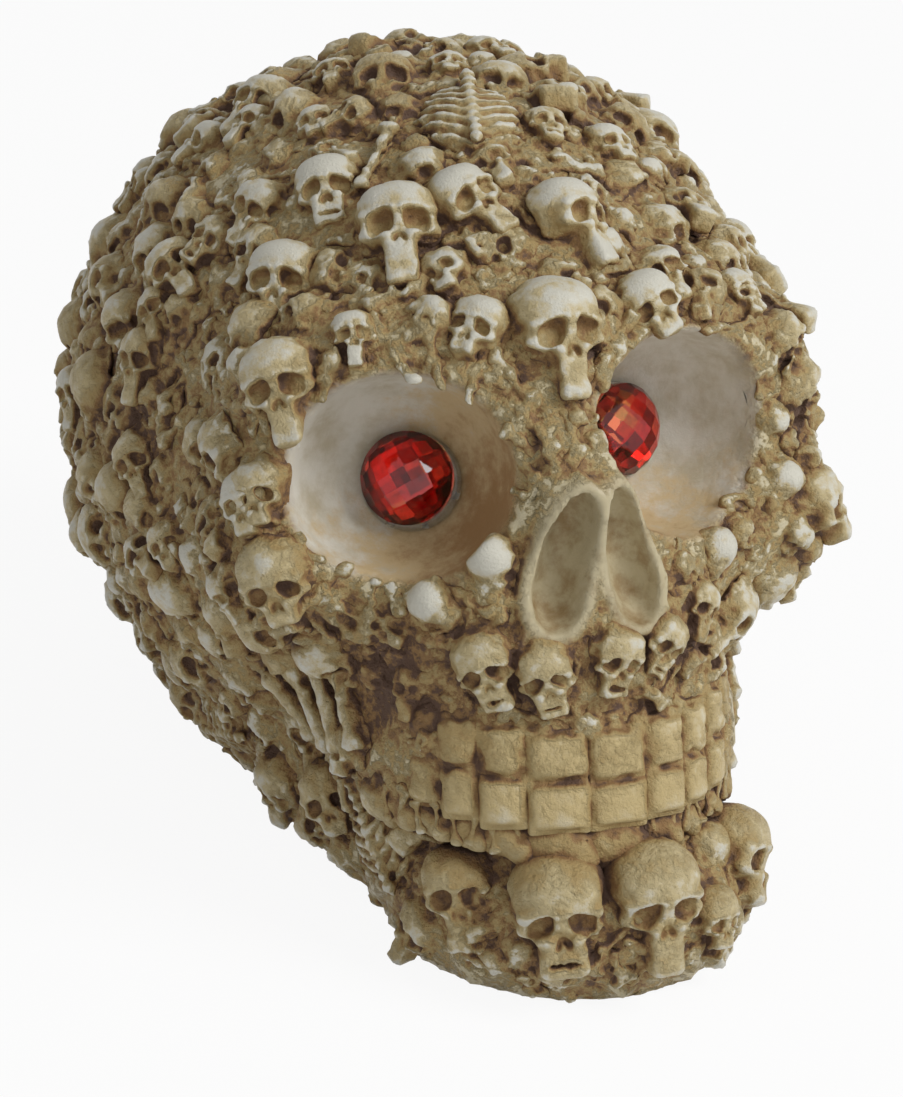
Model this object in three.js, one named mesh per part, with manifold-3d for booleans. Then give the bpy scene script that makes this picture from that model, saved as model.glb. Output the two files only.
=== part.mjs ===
// A skull ornament of cold-cast resin. It is hollow, lies back on its jaw and on the base of its head, and is
// covered in small skulls and bones. Two faceted stones are glued into its eye sockets.
// Millimetres, +Z up. The face looks along -Y and +X is the skull's own left side.
import * as THREE from "three";
import { mergeVertices } from "three/addons/utils/BufferGeometryUtils.js";
import Module from "manifold-3d";

const wasm = await Module();
wasm.setup();

const { degToRad } = THREE.MathUtils;

// How the skull lies: its lean, the depth that is cut flat under its jaw, and the origin's way forward
const LEAN_BACK = degToRad(17);
const REST_CUT = 14.3;
const REST_POINT_FORWARD = 46;

// The brain case, whose sizes the other masses of the bare skull follow
const CRANIUM_WIDTH = 136;
const CRANIUM_LENGTH = 172;
const CRANIUM_HEIGHT = 146;

// Rounded masses of the bare skull. Places are shares of half the brain case, and sizes are shares of the whole
const CRANIUM_SHARES = { place: [0, 0.06, 0.14], size: [1, 1, 1] };
const HEAD_BASE_SHARES = { place: [0, 0.14, -0.52], size: [0.647, 0.512, 0.466] };
const BROW_SHARES = { place: [0, -0.7, 0.37], size: [0.735, 0.267, 0.178] };
const MIDFACE_SHARES = { place: [0, -0.675, -0.245], size: [0.515, 0.395, 0.466] };
const TOOTH_ARCH_SHARES = { place: [0.02, -0.64, -0.63], size: [0.537, 0.407, 0.274] };
const CHIN_SHARES = { place: [0.09, -0.72, -1.08], size: [0.456, 0.349, 0.26] };
const UNDER_JAW_SHARES = { place: [0.06, -0.4, -0.96], size: [0.368, 0.512, 0.205] };

// Rounded bars of the bare skull, whose thicknesses are shares of the brain case's width
const CHEEK_RIM_SHARES = { from: [0.66, -0.675, -0.08], to: [0.68, -0.675, 0.27], thickness: [0.162, 0.118] };
const CHEEK_ARCH_SHARES = { from: [0.66, -0.675, -0.08], to: [0.82, -0.23, -0.11], thickness: [0.162, 0.118] };
const JAW_RIGHT_SHARES = { from: [-0.16, -0.68, -1.05], to: [-0.4, -0.19, -0.79], thickness: [0.191, 0.169] };
const JAW_LEFT_SHARES = { from: [0.2, -0.7, -1.07], to: [0.44, -0.19, -0.77], thickness: [0.191, 0.169] };
const NOSE_BRIDGE_SHARES = { from: [-0.09, -0.92, 0.27], to: [-0.02, -1.05, 0.06], thickness: [0.088, 0.088] };

// How softly the masses flow together, and the paste that beds the relief
const SOFT_BLEND = 14;
const TIGHT_BLEND = 10;
const PASTE_THICKNESS = 2.8;
const PASTE_LUMP = 0.9;
const PASTE_LUMP_PITCH = 4.2;

// The hollow of the brain case and its mouth in the underside
const WALL = 7;
const NECK_WIDTH = 40;
const NECK_DEPTH = 34;
const NECK_BACK = 12;

// Eye sockets and nose pits
const SOCKET_WIDTH = 42;
const SOCKET_DEPTH = 48;
const SOCKET_HEIGHT = 39;
const SOCKET_RIGHT_SHARE = [-0.485, -0.953, 0.118];
const SOCKET_LEFT_SHARE = [0.345, -0.953, 0.18];
const NOSE_PIT_WIDTH = 10;
const NOSE_PIT_DEPTH = 24;
const NOSE_PIT_HEIGHT = 30;
const NOSE_PIT_SPACING = 13;
const NOSE_PIT_PLACE_SHARE = [0.016, -1.13, -0.115];
const NOSE_PIT_SPLAY = degToRad(14);

// The stones with their mirror backs and glue
const STONE_DIAMETER = 18;
const STONE_HEIGHT = 6.5;
const STONE_GIRDLE = 1.4;
const STONE_STAND_OFF = 1.2;
const FOIL_THICKNESS = 0.4;
const GLUE_DIAMETER = 15;
const STONE_RIGHT_SHARE = [-0.343, -0.71, 0.08];
const STONE_LEFT_SHARE = [0.24, -0.7, 0.172];

// Teeth, from the middle of the arch to its side
const FRONT_TOOTH_WIDTH = 11.6;
const TOOTH_WIDTH_SHARES = [1, 0.78, 0.66, 0.67, 0.72];
const UPPER_TOOTH_HEIGHT = 8.8;
const LOWER_TOOTH_HEIGHT = 8.6;
const TOOTH_DEPTH = 7;
const TOOTH_STAND_OUT = 1.8;
const TOOTH_JOIN = 0.6;
const BITE_GAP = 0.9;
const MOUTH_LINE_SHARE = -0.68;
const SMILE_RISE = 7;

// The relief: the widest small skull, the longest bone and the rib cages
const SMALL_SKULL_WIDTH = 18;
const BONE_LENGTH = 30;
const BONE_THICKNESS = 5;
const RIB_CAGE_LENGTH = 24;
const RIB_THICKNESS = 2.4;
const RIB_PAIRS = 4;
const RIB_BOW = 3.4;
const SPINE_THICKNESS = 3.8;

// The domes that are cast with the skull: the backs of more small skulls, half sunk in the paste
const DOME_SPACING = 19;
const DOME_WIDTH = 21;
const DOME_HEIGHT = 5.2;

// Fits
const SEAT_GAP = 0.3;
const OVERRUN = 5;

// Facets: how often each edge of a ball is divided, and the sides of round pieces
const SKIN_STEPS = 9;
const HOLLOW_STEPS = 3;
const SOCKET_STEPS = 4;
const PIT_STEPS = 2;
const SMALL_SKULL_STEPS = 2;
const TINY_SKULL_STEPS = 1;
const TINY_SKULL_SHARE = 0.65;
const EYE_SIDES = 5;
const NOSE_SIDES = 3;
const BONE_SIDES = 6;
const SPINE_SIDES = 5;
const RIB_SIDES = 3;
const STONE_SIDES = 20;
const NECK_SIDES = 20;

const HEAD_SIZE = new THREE.Vector3(CRANIUM_WIDTH, CRANIUM_LENGTH, CRANIUM_HEIGHT);
const HEAD_HALF = HEAD_SIZE.clone().multiplyScalar(0.5);
const placeOf = (shares) => new THREE.Vector3(...shares).multiply(HEAD_HALF);
const mirrored = (shares) => [-shares[0], shares[1], shares[2]];

// Where the skin is looked for from, inside the head
const CORE = placeOf([0, -0.23, -0.2]);

// Each small skull: longitude and latitude on the head, its share of the widest one's width, and the way it
// turns, looks and nods
const SMALL_SKULL_SHARES = [
  ["forehead_middle", -2.5, 43.5, 0.92, 4, 8, 18],
  ["forehead_long_jaw", -36.5, 59, 0.82, 0, 6, 22],
  ["forehead_lean", -18.5, 63.5, 0.64, 38, 10, 10],
  ["forehead_pair", 11.5, 60, 0.74, 12, 30, 6],
  ["forehead_turned", 21, 43.5, 0.58, 20, -25, 10],
  ["brow_left_down", -18.5, 42, 0.53, -35, -18, 8],
  ["brow_tiny", -41.5, 39, 0.48, 0, 10, 12],
  ["brow_right_mid", -60.5, 48, 0.7, -6, 16, 14],
  ["forehead_small_right", -58.5, 62.5, 0.62, 8, 10, 16],
  ["temple_turned", -74, 55.5, 0.58, -30, 8, 10],
  ["brow_left_edge", 46.5, 40.5, 0.52, 10, 0, 8],
  ["crown_top", 123.5, 80, 0.56, 0, 0, 0],
  ["crown_right", -108.5, 67, 0.62, -20, 20, 10],
  ["crown_right_back", -127.5, 48, 0.58, -30, 10, 0],
  ["side_lower_right_look", -87, 44, 0.67, 40, 24, 8],
  ["side_long_dome", -88.5, 32, 0.61, -15, 10, 0],
  ["side_dark_eye", -88.5, 18, 0.59, 12, 20, 0],
  ["side_back", -113, 22.5, 0.58, 0, 30, 0],
  ["socket_rim_skull", -52.5, 31, 0.83, 4, 10, 4],
  ["socket_side_dome", -57.5, 15, 0.64, 0, 6, 0],
  ["cheek_skull", -53.5, 4, 0.79, 0, 8, -6],
  ["cheek_back", -79.5, 6.5, 0.5, 8, 24, -6],
  ["jaw_corner", -69, -48, 0.74, 6, 28, 8],
  ["lip_outer_right", -20, -10.5, 0.67, 6, 4, 0],
  ["lip_right", -9.5, -12, 0.64, 4, 2, 0],
  ["lip_left", 4, -10, 0.59, -6, 4, 0],
  ["lip_outer_left", 14.5, -9, 0.53, -20, 0, 0],
  ["chin_outer_right", -27, -46.5, 0.79, 0, 24, 26],
  ["chin_right", -8, -44, 1, -2, 8, 28],
  ["chin_left", 10.5, -42.5, 1, 4, -8, 28],
  ["chin_outer_left", 37, -43, 0.83, 0, 6, 24],
  ["temple_left", 70.5, 29, 0.81, 0, -14, 6],
  ["side_left", 91.5, 40, 0.75, -14, -8, 0],
  ["side_left_low", 93, 9.5, 0.72, 10, -16, 0],
  ["back_left", 131.5, 39.5, 0.83, 12, 0, 0],
  ["back_right", -153, 33, 0.81, -12, 0, 0],
];

// Each relief bone: longitude and latitude of its middle, its turn, and its share of the longest one's length
const BONE_SHARES = [
  ["long_bone_forehead", -47.5, 67, 70, 0.63],
  ["long_bone_back", 165, 4.5, -30, 1],
  ["cheek_post_right_1", -48.5, -23, 88, 0.43],
  ["cheek_post_right_2", -54.5, -23.5, 86, 0.53],
  ["cheek_post_right_3", -62, -26, 82, 0.53],
  ["cheek_post_right_4", -70.5, -27, 72, 0.47],
  ["cheek_post_left_1", 53.5, -22.5, 96, 0.43],
  ["cheek_post_left_2", 61, -25, 98, 0.57],
  ["cheek_post_left_3", 69, -27, 102, 0.5],
];

// Each rib cage: longitude and latitude of its middle, and its turn
const RIB_CAGES = [
  ["rib_cage_crown", -10, 76, 80],
  ["rib_cage_jaw", -47.5, -48.5, 100],
  ["rib_cage_back", 144, 64, -25],
];

// Solids and geometries
function withSharedCorners(geometry) {
  const bare = geometry.index ? geometry.toNonIndexed() : geometry.clone();
  for (const name of Object.keys(bare.attributes)) {
    if (name !== "position") {
      bare.deleteAttribute(name);
    }
  }
  return mergeVertices(bare);
}

function toSolid(geometry) {
  const merged = withSharedCorners(geometry);
  const mesh = new wasm.Mesh({
    numProp: 3,
    vertProperties: new Float32Array(merged.attributes.position.array),
    triVerts: new Uint32Array(merged.index.array),
  });
  return new wasm.Manifold(mesh);
}

function toGeometry(solid) {
  const mesh = solid.getMesh();
  const geometry = new THREE.BufferGeometry();
  geometry.setAttribute("position", new THREE.BufferAttribute(new Float32Array(mesh.vertProperties), 3));
  geometry.setIndex(new THREE.BufferAttribute(new Uint32Array(mesh.triVerts), 1));
  geometry.computeVertexNormals();
  return geometry;
}

function mainBody(solid) {
  const bodies = solid.decompose();
  return bodies.reduce((best, body) => (body.volume() > best.volume() ? body : best));
}

const joined = (solids) => solids.reduce((sum, solid) => sum.add(solid));

// A closed ball of facets, stretched to its full sizes about its middle
function ball(width, depth, height, place, detail) {
  const geometry = new THREE.IcosahedronGeometry(1, detail);
  geometry.scale(width / 2, depth / 2, height / 2);
  geometry.translate(place.x, place.y, place.z);
  return geometry;
}

// The bare skull's form: signed distances that flow together
function flow(a, b, blend) {
  const share = THREE.MathUtils.clamp(0.5 + (0.5 * (b - a)) / blend, 0, 1);
  return THREE.MathUtils.lerp(b, a, share) - blend * share * (1 - share);
}

function massDistance(point, place, half) {
  const offset = point.clone().sub(place);
  const scaled = offset.clone().divide(half);
  const level = scaled.length();
  const steepness = scaled.divide(half).length();
  return steepness === 0 ? -half.x : (level * (level - 1)) / steepness;
}

function barDistance(point, start, end, startRadius, endRadius) {
  const along = end.clone().sub(start);
  const reach = point.clone().sub(start).dot(along) / along.lengthSq();
  const share = THREE.MathUtils.clamp(reach, 0, 1);
  const nearest = start.clone().addScaledVector(along, share);
  return point.distanceTo(nearest) - THREE.MathUtils.lerp(startRadius, endRadius, share);
}

const mass = ({ place, size }, blend) => {
  const middle = placeOf(place);
  const half = placeOf(size);
  return { blend, distance: (point) => massDistance(point, middle, half) };
};

const bar = ({ from, to, thickness }, blend) => {
  const [start, end] = [placeOf(from), placeOf(to)];
  const [startRadius, endRadius] = thickness.map((share) => (share * CRANIUM_WIDTH) / 2);
  return { blend, distance: (point) => barDistance(point, start, end, startRadius, endRadius) };
};

const mirroredBar = ({ from, to, thickness }) => ({ from: mirrored(from), to: mirrored(to), thickness });

const HEAD_MASSES = [
  mass(CRANIUM_SHARES, SOFT_BLEND),
  mass(HEAD_BASE_SHARES, SOFT_BLEND),
  mass(BROW_SHARES, SOFT_BLEND),
  bar(CHEEK_RIM_SHARES, TIGHT_BLEND),
  bar(CHEEK_ARCH_SHARES, TIGHT_BLEND),
  bar(mirroredBar(CHEEK_RIM_SHARES), TIGHT_BLEND),
  bar(mirroredBar(CHEEK_ARCH_SHARES), TIGHT_BLEND),
  mass(MIDFACE_SHARES, SOFT_BLEND),
  bar(NOSE_BRIDGE_SHARES, TIGHT_BLEND),
  mass(TOOTH_ARCH_SHARES, TIGHT_BLEND),
  mass(CHIN_SHARES, TIGHT_BLEND),
  bar(JAW_RIGHT_SHARES, TIGHT_BLEND),
  bar(JAW_LEFT_SHARES, TIGHT_BLEND),
  mass(UNDER_JAW_SHARES, TIGHT_BLEND),
];

const SEARCH_STEPS = 100;
const HALVINGS = 16;
const formDistance = (form, point, span) => (
  form.reduce((sum, part) => flow(sum, part.distance(point), part.blend), span)
);

// The form's surface along a ray from inside it, found from outside inwards and then halved down to it
function reachOf(form, core, direction, thickness, span) {
  const pointAt = (reach) => core.clone().addScaledVector(direction, reach);
  const isInside = (reach) => formDistance(form, pointAt(reach), span) < thickness;
  const step = span / SEARCH_STEPS;
  let outer = span;
  while (!isInside(outer - step)) {
    outer -= step;
  }
  let inner = outer - step;
  for (let halving = 0; halving < HALVINGS; halving += 1) {
    const middle = (inner + outer) / 2;
    if (isInside(middle)) {
      inner = middle;
    } else {
      outer = middle;
    }
  }
  return inner;
}

// A closed skin of facets: a ball whose corners are pushed out from the core to the form's surface. The corner
// nearest each peak's direction is first turned to it
function pushedSkin(form, core, detail, thicknessAlong, span, peaks) {
  const geometry = withSharedCorners(new THREE.IcosahedronGeometry(1, detail));
  const positions = geometry.attributes.position;
  const corners = Array.from({ length: positions.count }, (_, i) => (
    new THREE.Vector3().fromBufferAttribute(positions, i).normalize()
  ));
  const ways = corners.map((corner) => corner.clone());
  for (const peak of peaks) {
    const nearness = corners.map((corner) => corner.dot(peak));
    ways[nearness.indexOf(Math.max(...nearness))] = peak;
  }
  ways.forEach((way, i) => {
    const reach = reachOf(form, core, way, thicknessAlong(way), span);
    positions.setXYZ(i, ...core.clone().addScaledVector(way, reach).toArray());
  });
  return toSolid(geometry);
}

// The paste lies in lumps, so its thickness swings from place to place
function pasteAlong(direction) {
  const waves = HEAD_SIZE.clone().multiply(direction).divideScalar(PASTE_LUMP_PITCH);
  return PASTE_THICKNESS + PASTE_LUMP * Math.sin(waves.x) * Math.sin(waves.y) * Math.sin(waves.z);
}

// A place on the paste. Its longitude and latitude are those of a globe that is stretched to the brain case's sizes
function pastePoint(direction) {
  const reach = reachOf(HEAD_MASSES, CORE, direction, PASTE_THICKNESS, CRANIUM_LENGTH);
  return CORE.clone().addScaledVector(direction, reach);
}

function pointOnGlobe(longitude, latitude) {
  const lon = degToRad(longitude);
  const lat = degToRad(latitude);
  const cosLat = Math.cos(lat);
  const direction = new THREE.Vector3(Math.sin(lon) * cosLat, -Math.cos(lon) * cosLat, Math.sin(lat));
  return pastePoint(direction.multiply(HEAD_SIZE).normalize());
}

// What the domes keep clear of: the pieces seated on the skull, its sockets, nose and mouth
const clearing = (place, width) => ({ place, radius: (width + DOME_SPACING) / 2 });
const CLEARINGS = [
  ...SMALL_SKULL_SHARES.map(([, longitude, latitude, share]) => (
    clearing(pointOnGlobe(longitude, latitude), share * SMALL_SKULL_WIDTH)
  )),
  ...BONE_SHARES.map(([, longitude, latitude]) => clearing(pointOnGlobe(longitude, latitude), BONE_THICKNESS)),
  ...RIB_CAGES.map(([, longitude, latitude]) => clearing(pointOnGlobe(longitude, latitude), RIB_CAGE_LENGTH)),
  clearing(placeOf(SOCKET_RIGHT_SHARE), SOCKET_DEPTH),
  clearing(placeOf(SOCKET_LEFT_SHARE), SOCKET_DEPTH),
  clearing(placeOf(NOSE_PIT_PLACE_SHARE), NOSE_PIT_HEIGHT),
  clearing(placeOf(TOOTH_ARCH_SHARES.place), TOOTH_ARCH_SHARES.size[0] * CRANIUM_WIDTH),
];

// The domes follow a spiral whose turns and steps lie alike all over the globe
const SPIRAL_TURN = 180 * (3 - Math.sqrt(5));

function domePlaces() {
  const meanWidth = (CRANIUM_WIDTH + CRANIUM_LENGTH + CRANIUM_HEIGHT) / 3;
  const count = Math.round(Math.PI * (meanWidth / DOME_SPACING) ** 2);
  return Array.from({ length: count }, (_, step) => {
    const height = 1 - (2 * step + 1) / count;
    return pointOnGlobe(step * SPIRAL_TURN, THREE.MathUtils.radToDeg(Math.asin(height)));
  }).filter((place) => CLEARINGS.every((clear) => place.distanceTo(clear.place) > clear.radius));
}

const DOMES = domePlaces();

const DOME_WAYS = DOMES.map((place) => place.clone().sub(CORE).normalize());

function domeAlong(direction) {
  const point = pastePoint(direction);
  const rises = DOMES.map((place) => 1 - ((2 * point.distanceTo(place)) / DOME_WIDTH) ** 2);
  return DOME_HEIGHT * Math.max(0, ...rises);
}

const skinOf = (thicknessAlong) => (
  pushedSkin(HEAD_MASSES, CORE, SKIN_STEPS, thicknessAlong, CRANIUM_LENGTH, DOME_WAYS)
);
const skinSolid = (growth) => skinOf((direction) => pasteAlong(direction) + domeAlong(direction) + growth);

// The axes of a place on the paste: Z outwards, Y towards the crown
const CROWN_WAY = new THREE.Vector3(0, 0.35, 1);

function perch(longitude, latitude) {
  const point = pointOnGlobe(longitude, latitude);
  const step = PASTE_THICKNESS / 2;
  const slope = (axis) => {
    const ahead = point.clone().addScaledVector(axis, step);
    const behind = point.clone().addScaledVector(axis, -step);
    return formDistance(HEAD_MASSES, ahead, CRANIUM_LENGTH) - formDistance(HEAD_MASSES, behind, CRANIUM_LENGTH);
  };
  const outward = new THREE.Vector3(
    slope(new THREE.Vector3(1, 0, 0)),
    slope(new THREE.Vector3(0, 1, 0)),
    slope(new THREE.Vector3(0, 0, 1)),
  ).normalize();
  const crown = CROWN_WAY.clone();
  const upward = crown.addScaledVector(outward, -crown.dot(outward)).normalize();
  const sideways = new THREE.Vector3().crossVectors(upward, outward);
  return new THREE.Matrix4().makeBasis(sideways, upward, outward).setPosition(point);
}

const turned = (turn, look, nod) => new THREE.Matrix4()
  .makeRotationZ(degToRad(turn))
  .multiply(new THREE.Matrix4().makeRotationY(degToRad(look)))
  .multiply(new THREE.Matrix4().makeRotationX(degToRad(nod)));

const moved = (solid, matrix) => solid.transform(matrix.toArray());

// The head leans back and is lowered until its lowest point lies as deep as the cut
const head = new THREE.Group();
head.rotation.x = -LEAN_BACK;
head.updateMatrix();
const lowestPoint = moved(skinOf(pasteAlong), head.matrix).boundingBox().min[2];
head.position.set(0, REST_POINT_FORWARD, -lowestPoint - REST_CUT);
head.updateMatrix();
const toUpright = head.matrix.clone().invert();

// The space under the surface that the ornament lies on
function groundSolid() {
  const span = CRANIUM_LENGTH * 2;
  const block = new THREE.BoxGeometry(span, span, span);
  block.translate(0, 0, -span / 2);
  block.applyMatrix4(toUpright);
  return toSolid(block);
}

const SOCKETS = {
  right: placeOf(SOCKET_RIGHT_SHARE),
  left: placeOf(SOCKET_LEFT_SHARE),
};

const socketSolid = (place, growth) => toSolid(
  ball(SOCKET_WIDTH + growth, SOCKET_DEPTH + growth, SOCKET_HEIGHT + growth, place, SOCKET_STEPS),
);

function nosePits() {
  const middle = placeOf(NOSE_PIT_PLACE_SHARE);
  const pits = [-1, 1].map((side) => {
    const pit = ball(NOSE_PIT_WIDTH, NOSE_PIT_DEPTH, NOSE_PIT_HEIGHT, new THREE.Vector3(), PIT_STEPS);
    pit.rotateY(-side * NOSE_PIT_SPLAY);
    pit.translate(middle.x + (side * NOSE_PIT_SPACING) / 2, middle.y, middle.z);
    return toSolid(pit);
  });
  return joined(pits);
}

// The hollow follows the brain case's wall at the back and sides and stops behind the sockets
function hollowSolid() {
  const place = placeOf(CRANIUM_SHARES.place);
  const back = place.y + CRANIUM_LENGTH / 2 - WALL;
  const front = Math.max(SOCKETS.right.y, SOCKETS.left.y) + SOCKET_DEPTH / 2 + WALL;
  place.y = (front + back) / 2;
  const width = CRANIUM_WIDTH - 2 * WALL;
  const height = CRANIUM_HEIGHT - 2 * WALL;
  return toSolid(ball(width, back - front, height, place, HOLLOW_STEPS));
}

function neckSolid() {
  const neck = new THREE.CylinderGeometry(1, 1, 1, NECK_SIDES);
  const length = head.position.z;
  neck.rotateX(Math.PI / 2);
  neck.scale(NECK_WIDTH / 2, NECK_DEPTH / 2, length);
  neck.translate(0, REST_POINT_FORWARD + NECK_BACK, length / 2 - OVERRUN);
  neck.applyMatrix4(toUpright);
  return toSolid(neck);
}

// Small skulls
const SMALL_MASS_SHARES = [
  { size: [1, 0.92, 1.1], place: [0, 0.14, -0.06] },
  { size: [0.86, 0.42, 0.6], place: [0, -0.14, 0.08] },
  { size: [0.6, 0.68, 0.62], place: [0, -0.5, 0.1] },
];
const SMALL_BLEND_SHARE = 0.12;
const SMALL_CORE_SHARES = [0, -0.24, 0];
const EYE_RADIUS_SHARE = 0.16;
const EYE_PLACE_SHARES = [0.2, -0.07];
const EYE_FLOOR_SHARE = 0.2;
const HOLE_MOUTH_SHARE = 0.2;
const NOSE_RADIUS_SHARE = 0.09;
const NOSE_HEIGHT_SHARE = -0.31;
const SINK_SHARE = 0.02;

function smallForm(width) {
  return SMALL_MASS_SHARES.map(({ size, place }) => {
    const middle = new THREE.Vector3(...place).multiplyScalar(width);
    const half = new THREE.Vector3(...size).multiplyScalar(width / 2);
    return { blend: SMALL_BLEND_SHARE * width, distance: (point) => massDistance(point, middle, half) };
  });
}

// A hole that narrows to its floor: an eye or the nose
function smallHole(width, radiusShare, [x, y], sides) {
  const front = width;
  const depth = front - EYE_FLOOR_SHARE * width;
  const widening = depth / (HOLE_MOUTH_SHARE * width);
  const hole = new THREE.ConeGeometry(radiusShare * width * widening, depth, sides);
  hole.rotateX(-Math.PI / 2);
  hole.translate(x * width, y * width, front - depth / 2);
  return toSolid(hole);
}

function smallSkull(width) {
  const core = new THREE.Vector3(...SMALL_CORE_SHARES).multiplyScalar(width);
  const detail = width < TINY_SKULL_SHARE * SMALL_SKULL_WIDTH ? TINY_SKULL_STEPS : SMALL_SKULL_STEPS;
  return pushedSkin(smallForm(width), core, detail, () => 0, width, [])
    .subtract(smallHole(width, EYE_RADIUS_SHARE, EYE_PLACE_SHARES, EYE_SIDES))
    .subtract(smallHole(width, EYE_RADIUS_SHARE, mirrored([...EYE_PLACE_SHARES, 0]), EYE_SIDES))
    .subtract(smallHole(width, NOSE_RADIUS_SHARE, [0, NOSE_HEIGHT_SHARE], NOSE_SIDES));
}

const lifted = (height) => new THREE.Matrix4().makeTranslation(0, 0, height);

function grown(solid, size) {
  const scale = 1 + (2 * SEAT_GAP) / size;
  return moved(solid, new THREE.Matrix4().makeScale(scale, scale, scale));
}

// Bones of the relief, each along its own X axis
const SHAFT_SHARE = 0.55;
const KNOB_TIP_SHARE = 0.75;
const KNOB_STEP_SHARES = [0.2, 0.8, 2.2];
const BONE_LIFT_SHARE = 0.3;

function longBone(length, thickness, sides) {
  const knob = thickness / 2;
  const [tip, widest, shaft] = KNOB_STEP_SHARES.map((share) => length / 2 - share * knob);
  const upperHalf = [[SHAFT_SHARE, shaft], [1, widest], [KNOB_TIP_SHARE, tip], [0, length / 2]];
  const lowerHalf = upperHalf.map(([share, y]) => [share, -y]).reverse();
  const profile = [...lowerHalf, ...upperHalf].map(([share, y]) => new THREE.Vector2(share * knob, y));
  const geometry = new THREE.LatheGeometry(profile, sides);
  geometry.rotateZ(-Math.PI / 2);
  return toSolid(geometry);
}

const RIB_SPREAD_SHARE = 0.42;
const RIB_NARROWING_SHARE = 0.03;

function rib(start, middle, end) {
  const path = new THREE.QuadraticBezierCurve3(start, middle, end);
  const corners = Array.from({ length: RIB_SIDES }, (_, corner) => {
    const angle = (corner * 2 * Math.PI) / RIB_SIDES;
    return new THREE.Vector2(Math.cos(angle), Math.sin(angle)).multiplyScalar(RIB_THICKNESS / 2);
  });
  const geometry = new THREE.ExtrudeGeometry(new THREE.Shape(corners), { steps: 2, extrudePath: path });
  return toSolid(geometry);
}

// A spine with pairs of ribs that bow outwards from it and lie down on the skin
function ribCage() {
  const solids = [longBone(RIB_CAGE_LENGTH, SPINE_THICKNESS, SPINE_SIDES)];
  const pitch = RIB_CAGE_LENGTH / (RIB_PAIRS + 1);
  for (let pair = 0; pair < RIB_PAIRS; pair += 1) {
    const x = pair * pitch + pitch / 2 - RIB_CAGE_LENGTH / 2 + RIB_THICKNESS;
    const spread = RIB_CAGE_LENGTH * (RIB_SPREAD_SHARE - RIB_NARROWING_SHARE * pair);
    for (const side of [-1, 1]) {
      const start = new THREE.Vector3(x, 0, 0);
      const middle = new THREE.Vector3(x + pitch / 2, (side * spread) / 2, RIB_BOW);
      const end = new THREE.Vector3(x + pitch, side * spread, 0);
      solids.push(rib(start, middle, end));
    }
  }
  return joined(solids);
}

// The arch that the tooth fronts follow, by the distance along it from the middle
const ARCH_STEPS = 200;

function archPlace(distance) {
  const middle = placeOf(TOOTH_ARCH_SHARES.place);
  const half = placeOf(TOOTH_ARCH_SHARES.size).addScalar(PASTE_THICKNESS);
  const step = Math.PI / 2 / ARCH_STEPS;
  let angle = 0;
  let walked = 0;
  while (walked < Math.abs(distance)) {
    walked += Math.hypot(half.x * Math.cos(angle), half.y * Math.sin(angle)) * step;
    angle += step;
  }
  const side = Math.sign(distance);
  const x = middle.x + side * half.x * Math.sin(angle);
  const y = middle.y - half.y * Math.cos(angle);
  const facing = Math.atan2(side * half.y * Math.sin(angle), half.x * Math.cos(angle));
  return { x, y, facing };
}

// Teeth stand side by side on the arch, whose ends rise in a grin
const SMILE_POWER = 1.5;

function toothRow(height, isUpper) {
  const mouth = HEAD_HALF.z * MOUTH_LINE_SHARE;
  const widths = TOOTH_WIDTH_SHARES.map((share) => share * FRONT_TOOTH_WIDTH);
  const archLength = widths.reduce((sum, width) => sum + width);
  const teeth = [];
  for (const side of [-1, 1]) {
    let start = 0;
    for (const width of widths) {
      const distance = side * (start + width / 2);
      const { x, y, facing } = archPlace(distance);
      const tooth = new THREE.ExtrudeGeometry(toothShape(width, height, isUpper), toothExtrusion());
      tooth.rotateX(Math.PI / 2);
      tooth.translate(0, TOOTH_DEPTH - TOOTH_STAND_OUT, 0);
      tooth.rotateZ(facing);
      const rise = SMILE_RISE * Math.abs(distance / archLength) ** SMILE_POWER;
      tooth.translate(x, y, mouth + rise);
      teeth.push(toSolid(tooth));
      start += width;
    }
  }
  return joined(teeth);
}

// A crown seen from the front, with its biting edge at the mouth line and its neck away from it
const CROWN_EDGE_SHARE = 0.84;
const CROWN_SHOULDER_SHARE = 0.2;
const CROWN_NECK_SHARE = 0.9;

function toothShape(width, height, isUpper) {
  const half = width / 2 + TOOTH_JOIN / 2;
  const away = isUpper ? 1 : -1;
  const edge = (away * BITE_GAP) / 2;
  const rightSide = [
    [half * CROWN_EDGE_SHARE, edge],
    [half, edge + away * height * CROWN_SHOULDER_SHARE],
    [half * CROWN_NECK_SHARE, edge + away * height],
  ];
  const leftSide = rightSide.map(([x, y]) => [-x, y]).reverse();
  return new THREE.Shape([...rightSide, ...leftSide].map(([x, y]) => new THREE.Vector2(x, y)));
}

function toothExtrusion() {
  const bevel = TOOTH_STAND_OUT / 3;
  return {
    depth: TOOTH_DEPTH - 2 * bevel,
    bevelThickness: bevel,
    bevelSize: bevel,
    bevelOffset: -bevel,
    bevelSegments: 1,
  };
}

// A stone's own axes, Z away from the bowl. It lies as deep as its rim lets it, and stands off a little on its glue
const RIM_CORNERS = 8;

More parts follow.
